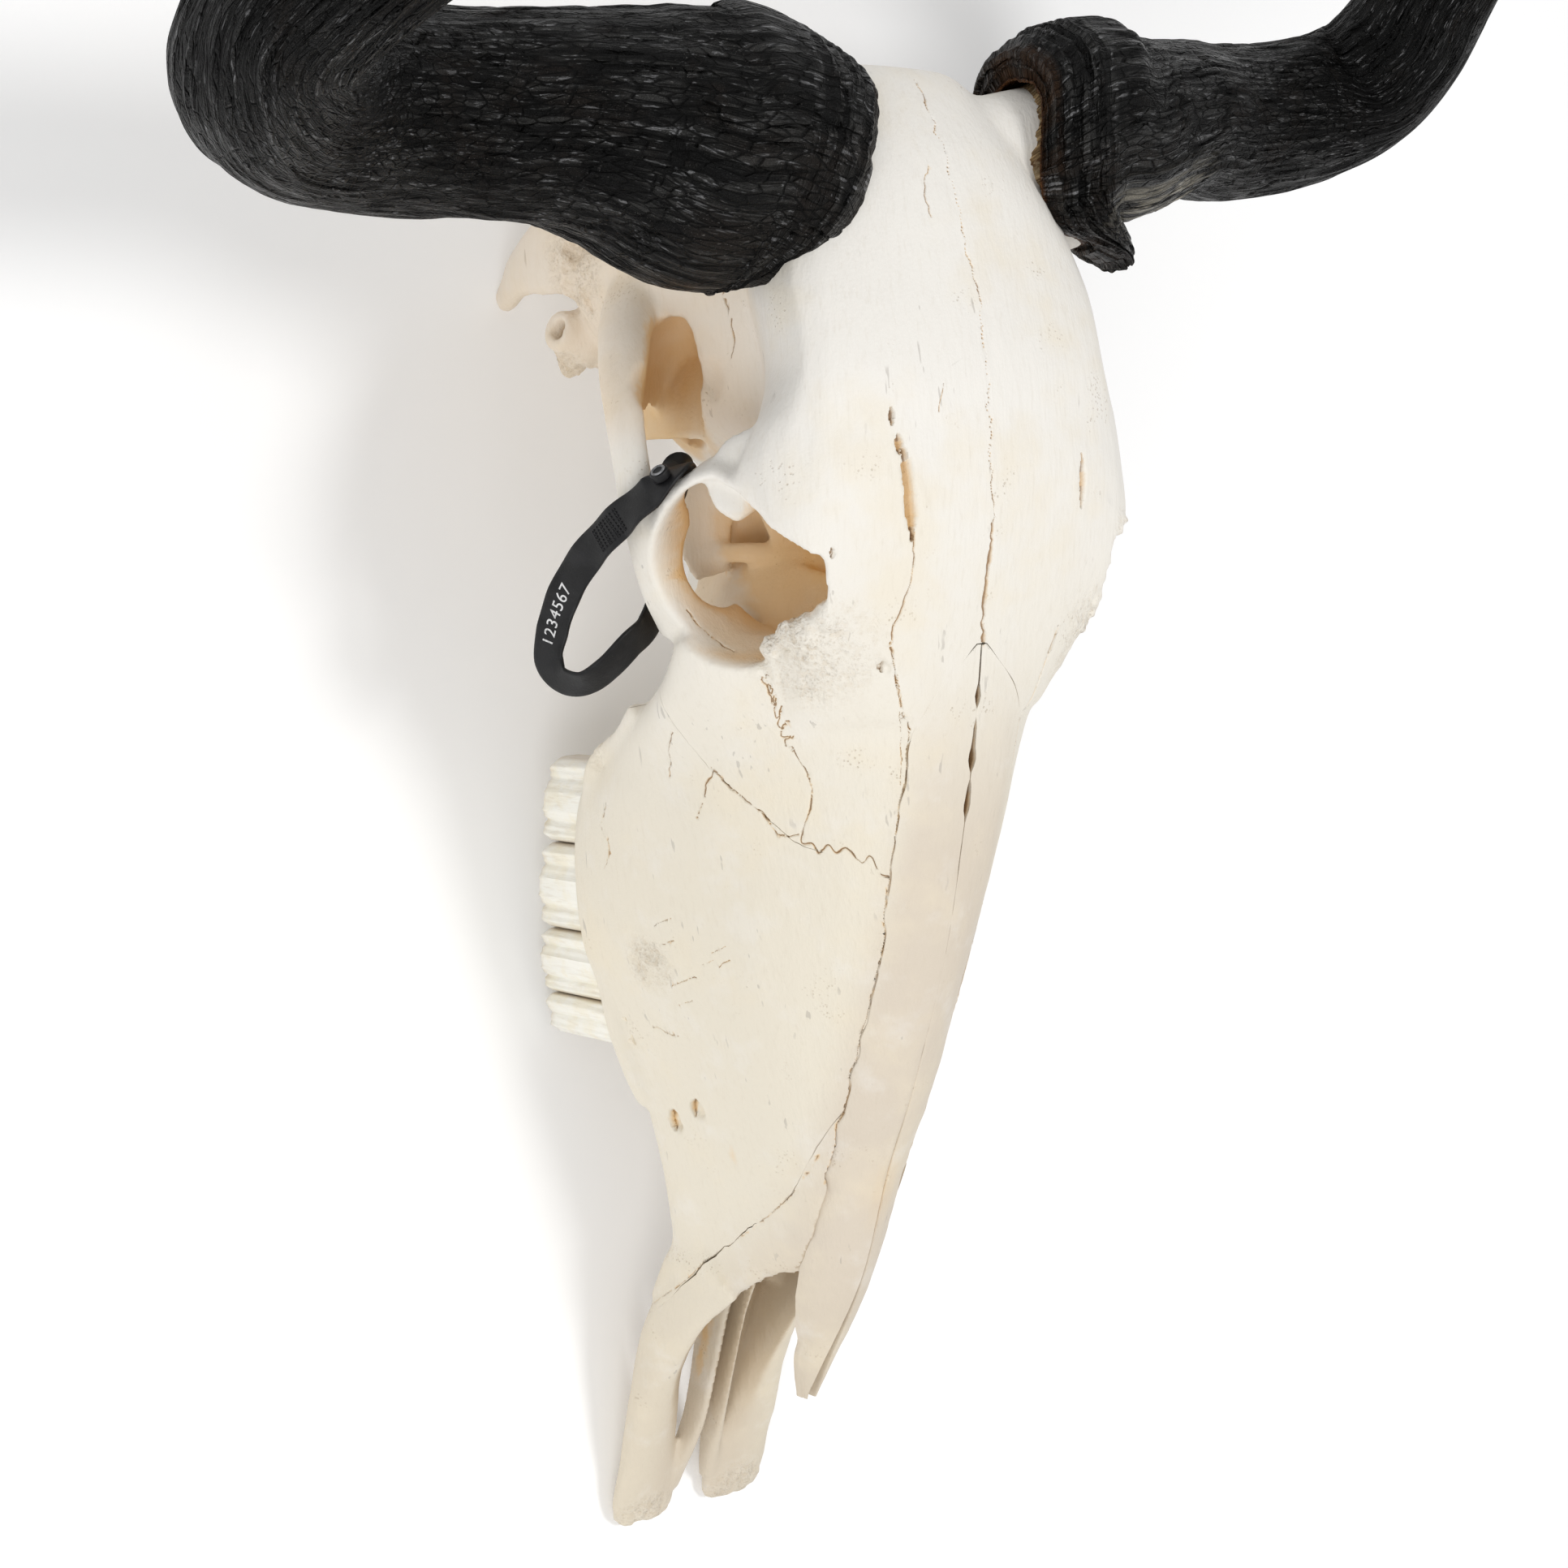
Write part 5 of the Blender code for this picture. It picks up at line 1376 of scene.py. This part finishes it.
# The tag strap: a black plastic band with rounded edges, pushed through a round lock behind the eye socket
# and pulled into a loose loop; moulded grip dots sit beside the lock and a plain white number is printed on
# its face.
STRAP_WIDTH = 11.0
STRAP_THICK = 1.6
STRAP_RINGS = 260
STRAP_NUMBER = "1234567"
DIGIT_SIZE = 5.6
LOCK_RADIUS = 3.0
LOCK_HEIGHT = 2.8
DOT_RADIUS = 0.42
LOCK_PLACE, DOTS_PLACE, NUMBER_PLACE = (-84.5, 96, 148), (-91.5, 82, 129), (-95.3, 57, 102)
# Places of the middle line, each with the turn of the face about the line, in degrees.
STRAP_ROUTE = [(-88, 92.4, 145.8, 20), (-83, 97.5, 149, 55), (-78, 99.6, 147, 70), (-72, 98, 140.5, 70),
               (-69, 92, 133, 75), (-68.6, 84.5, 126, 80), (-67, 77, 119.5, 80), (-65.2, 69.2, 116.6, 70),
               (-67, 58, 115.5, 60), (-72, 51, 116.5, 55), (-79, 46.5, 117.5, 50), (-85, 40, 114, 52),
               (-89.5, 35.5, 107.5, 56), (-93.5, 36.5, 100, 50), (-95.8, 43, 96.8, 32),
               (-95.5, 52, 99.5, 16), (-94.6, 63, 106, 5), (-93, 74.2, 117.1, 0), (-91, 84.2, 132.2, 0)]
OPEN_FACE = Vector((-0.6, 0.1, 0.79))
EYE = Vector(CAMERA_PLACE) / MM - PLACE


def strap_course():
    """The strap's middle line with its width, outward and length directions; its face starts towards the
    upper right side of the skull and is turned about the line by the angle that each place of the route
    gives."""
    line = smooth_ring([place[:3] for place in STRAP_ROUTE], STRAP_RINGS)
    course = []
    for i, centre in enumerate(line):
        along = (line[(i + 1) % len(line)] - line[i - 1]).normalized()
        pull = [1 / ((Vector(place[:3]) - centre).length + 6) ** 3 for place in STRAP_ROUTE]
        turn = math.radians(sum(p * place[3] for p, place in zip(pull, STRAP_ROUTE)) / sum(pull))
        flat = along.cross(OPEN_FACE).normalized()
        wide = flat * math.cos(turn) + flat.cross(along) * math.sin(turn)
        course.append((centre, wide, wide.cross(along), along))
    return course


def nearest_on_course(place):
    return min(range(len(course)), key=lambda k: (course[k][0] - Vector(place)).length)


def to_camera(centre, out):
    """The strap's outward direction on the face that shows in the photo."""
    return out if out.dot(EYE - centre) > 0 else -out


plastic_look, tree, principled = shader("strap_black_plastic", 0.46, 0.30)
here = node(tree, "TexCoord").outputs["Object"]
colour = blend(tree, mask(tree, patches, here, 120, 0.40, 0.65), (0.0045, 0.0045, 0.005),
               (0.011, 0.011, 0.012))
colour = coated(tree, colour, ((mask(tree, patches, here, 2200, 0.66, 0.72), 0.3, (0.10, 0.10, 0.10)),))
tree.links.new(colour, principled.inputs["Base Color"])
raised(tree, principled, mask(tree, patches, here, 1600, 0.3, 0.7), 0.25, 0.0001)
course = strap_course()
ring = [(math.copysign(abs(math.cos(turn)) ** 0.22, math.cos(turn)) * STRAP_WIDTH / 2,
         math.copysign(abs(math.sin(turn)) ** 0.5, math.sin(turn)) * STRAP_THICK / 2) for turn in turns(20)]
strap = loft("tag_strap_band", [[centre + wide * a + out * b for a, b in ring] for centre, wide, out,
                                _ in course],
             closed=True)
handed_in(strap, plastic_look, "strap_plastic", "tag_strap")

centre, _, out, along = course[nearest_on_course(LOCK_PLACE)]
face = to_camera(centre, out)
turned = Matrix((along.cross(face), along, face)).transposed().to_4x4()
bpy.ops.mesh.primitive_cylinder_add(vertices=48, radius=LOCK_RADIUS, depth=LOCK_HEIGHT)
lock = bpy.context.object
lock.name = "tag_lock_case"
bpy.ops.object.mode_set(mode="EDIT")
bpy.ops.mesh.select_all(action="SELECT")
bpy.ops.mesh.bevel(offset=0.5, segments=3)
bpy.ops.object.mode_set(mode="OBJECT")
lock.data.transform(Matrix.Translation(centre + face * (STRAP_THICK / 2 + 1.5)) @ turned)
handed_in(lock, plastic_look, "strap_plastic", "tag_lock")
# A ring on the lock's face, painted light grey as a painted highlight: the crescent of light on the lock.
bpy.ops.mesh.primitive_torus_add(major_radius=1.9, minor_radius=0.4, major_segments=48, minor_segments=10)
lock_ring = bpy.context.object
lock_ring.name = "tag_lock_highlight_ring"
lock_ring.data.transform(Matrix.Translation(centre + face * (STRAP_THICK / 2 + 2.95)) @ turned)
highlight_ring_look, tree, principled = shader("lock_ring_painted_highlight", 0.35)
here = node(tree, "TexCoord").outputs["Object"]
tree.links.new(blend(tree, mask(tree, patches, here, 700, 0.4, 0.65), (0.26, 0.265, 0.275),
                     (0.12, 0.12, 0.125)),
               principled.inputs["Base Color"])
handed_in(lock_ring, highlight_ring_look, "strap_plastic")

dots = []
middle = nearest_on_course(DOTS_PLACE)
for row in range(-5, 6):
    centre, wide, out, _ = course[(middle + round(row * 1.7)) % len(course)]
    for lane in range(-3, 4):
        spot = centre + wide * lane * 1.15 + to_camera(centre, out) * (STRAP_THICK / 2)
        bpy.ops.mesh.primitive_ico_sphere_add(subdivisions=2, radius=DOT_RADIUS, location=spot)
        bpy.ops.object.transform_apply(location=True, rotation=True, scale=True)
        dots.append(bpy.context.object)
handed_in(joined("tag_grip_dots", dots), plastic_look, "strap_plastic")

print_look, tree, principled = shader("strap_white_print", 0.6)
here = node(tree, "TexCoord").outputs["Object"]
tree.links.new(blend(tree, mask(tree, patches, here, 900, 0.48, 0.70), (0.72, 0.72, 0.72),
                     (0.42, 0.42, 0.42)),
               principled.inputs["Base Color"])
bpy.ops.object.text_add()
number = bpy.context.object
number.data.body = STRAP_NUMBER
number.data.size = DIGIT_SIZE
number.data.extrude = 0.05
number.data.space_character = 1.12
number.data.align_x = "CENTER"
number.data.align_y = "CENTER"
bpy.ops.object.convert(target="MESH")
number = bpy.context.object
number.name = "tag_number"
middle = nearest_on_course(NUMBER_PLACE)
pitch = sum((course[k][0] - course[k - 1][0]).length for k in range(len(course))) / len(course)
direction = 1 if course[middle][3].dot(Vector((0, 1, 0.6))) > 0 else -1
placed = []
for spot in spots_of(number):
    step = middle + direction * spot[0] / pitch
    low = math.floor(step)
    centre, _, out, along = (course[low % len(course)][k].lerp(course[(low + 1) % len(course)][k],
                                                               step - low)
                             for k in range(4))
    face = to_camera(centre, out)
    placed.append(centre + face.cross(along * direction) * spot[1]
                  + face * (STRAP_THICK / 2 + 0.06 + spot[2]))
handed_in(moved_to(number, placed), print_look, "strap_plastic")
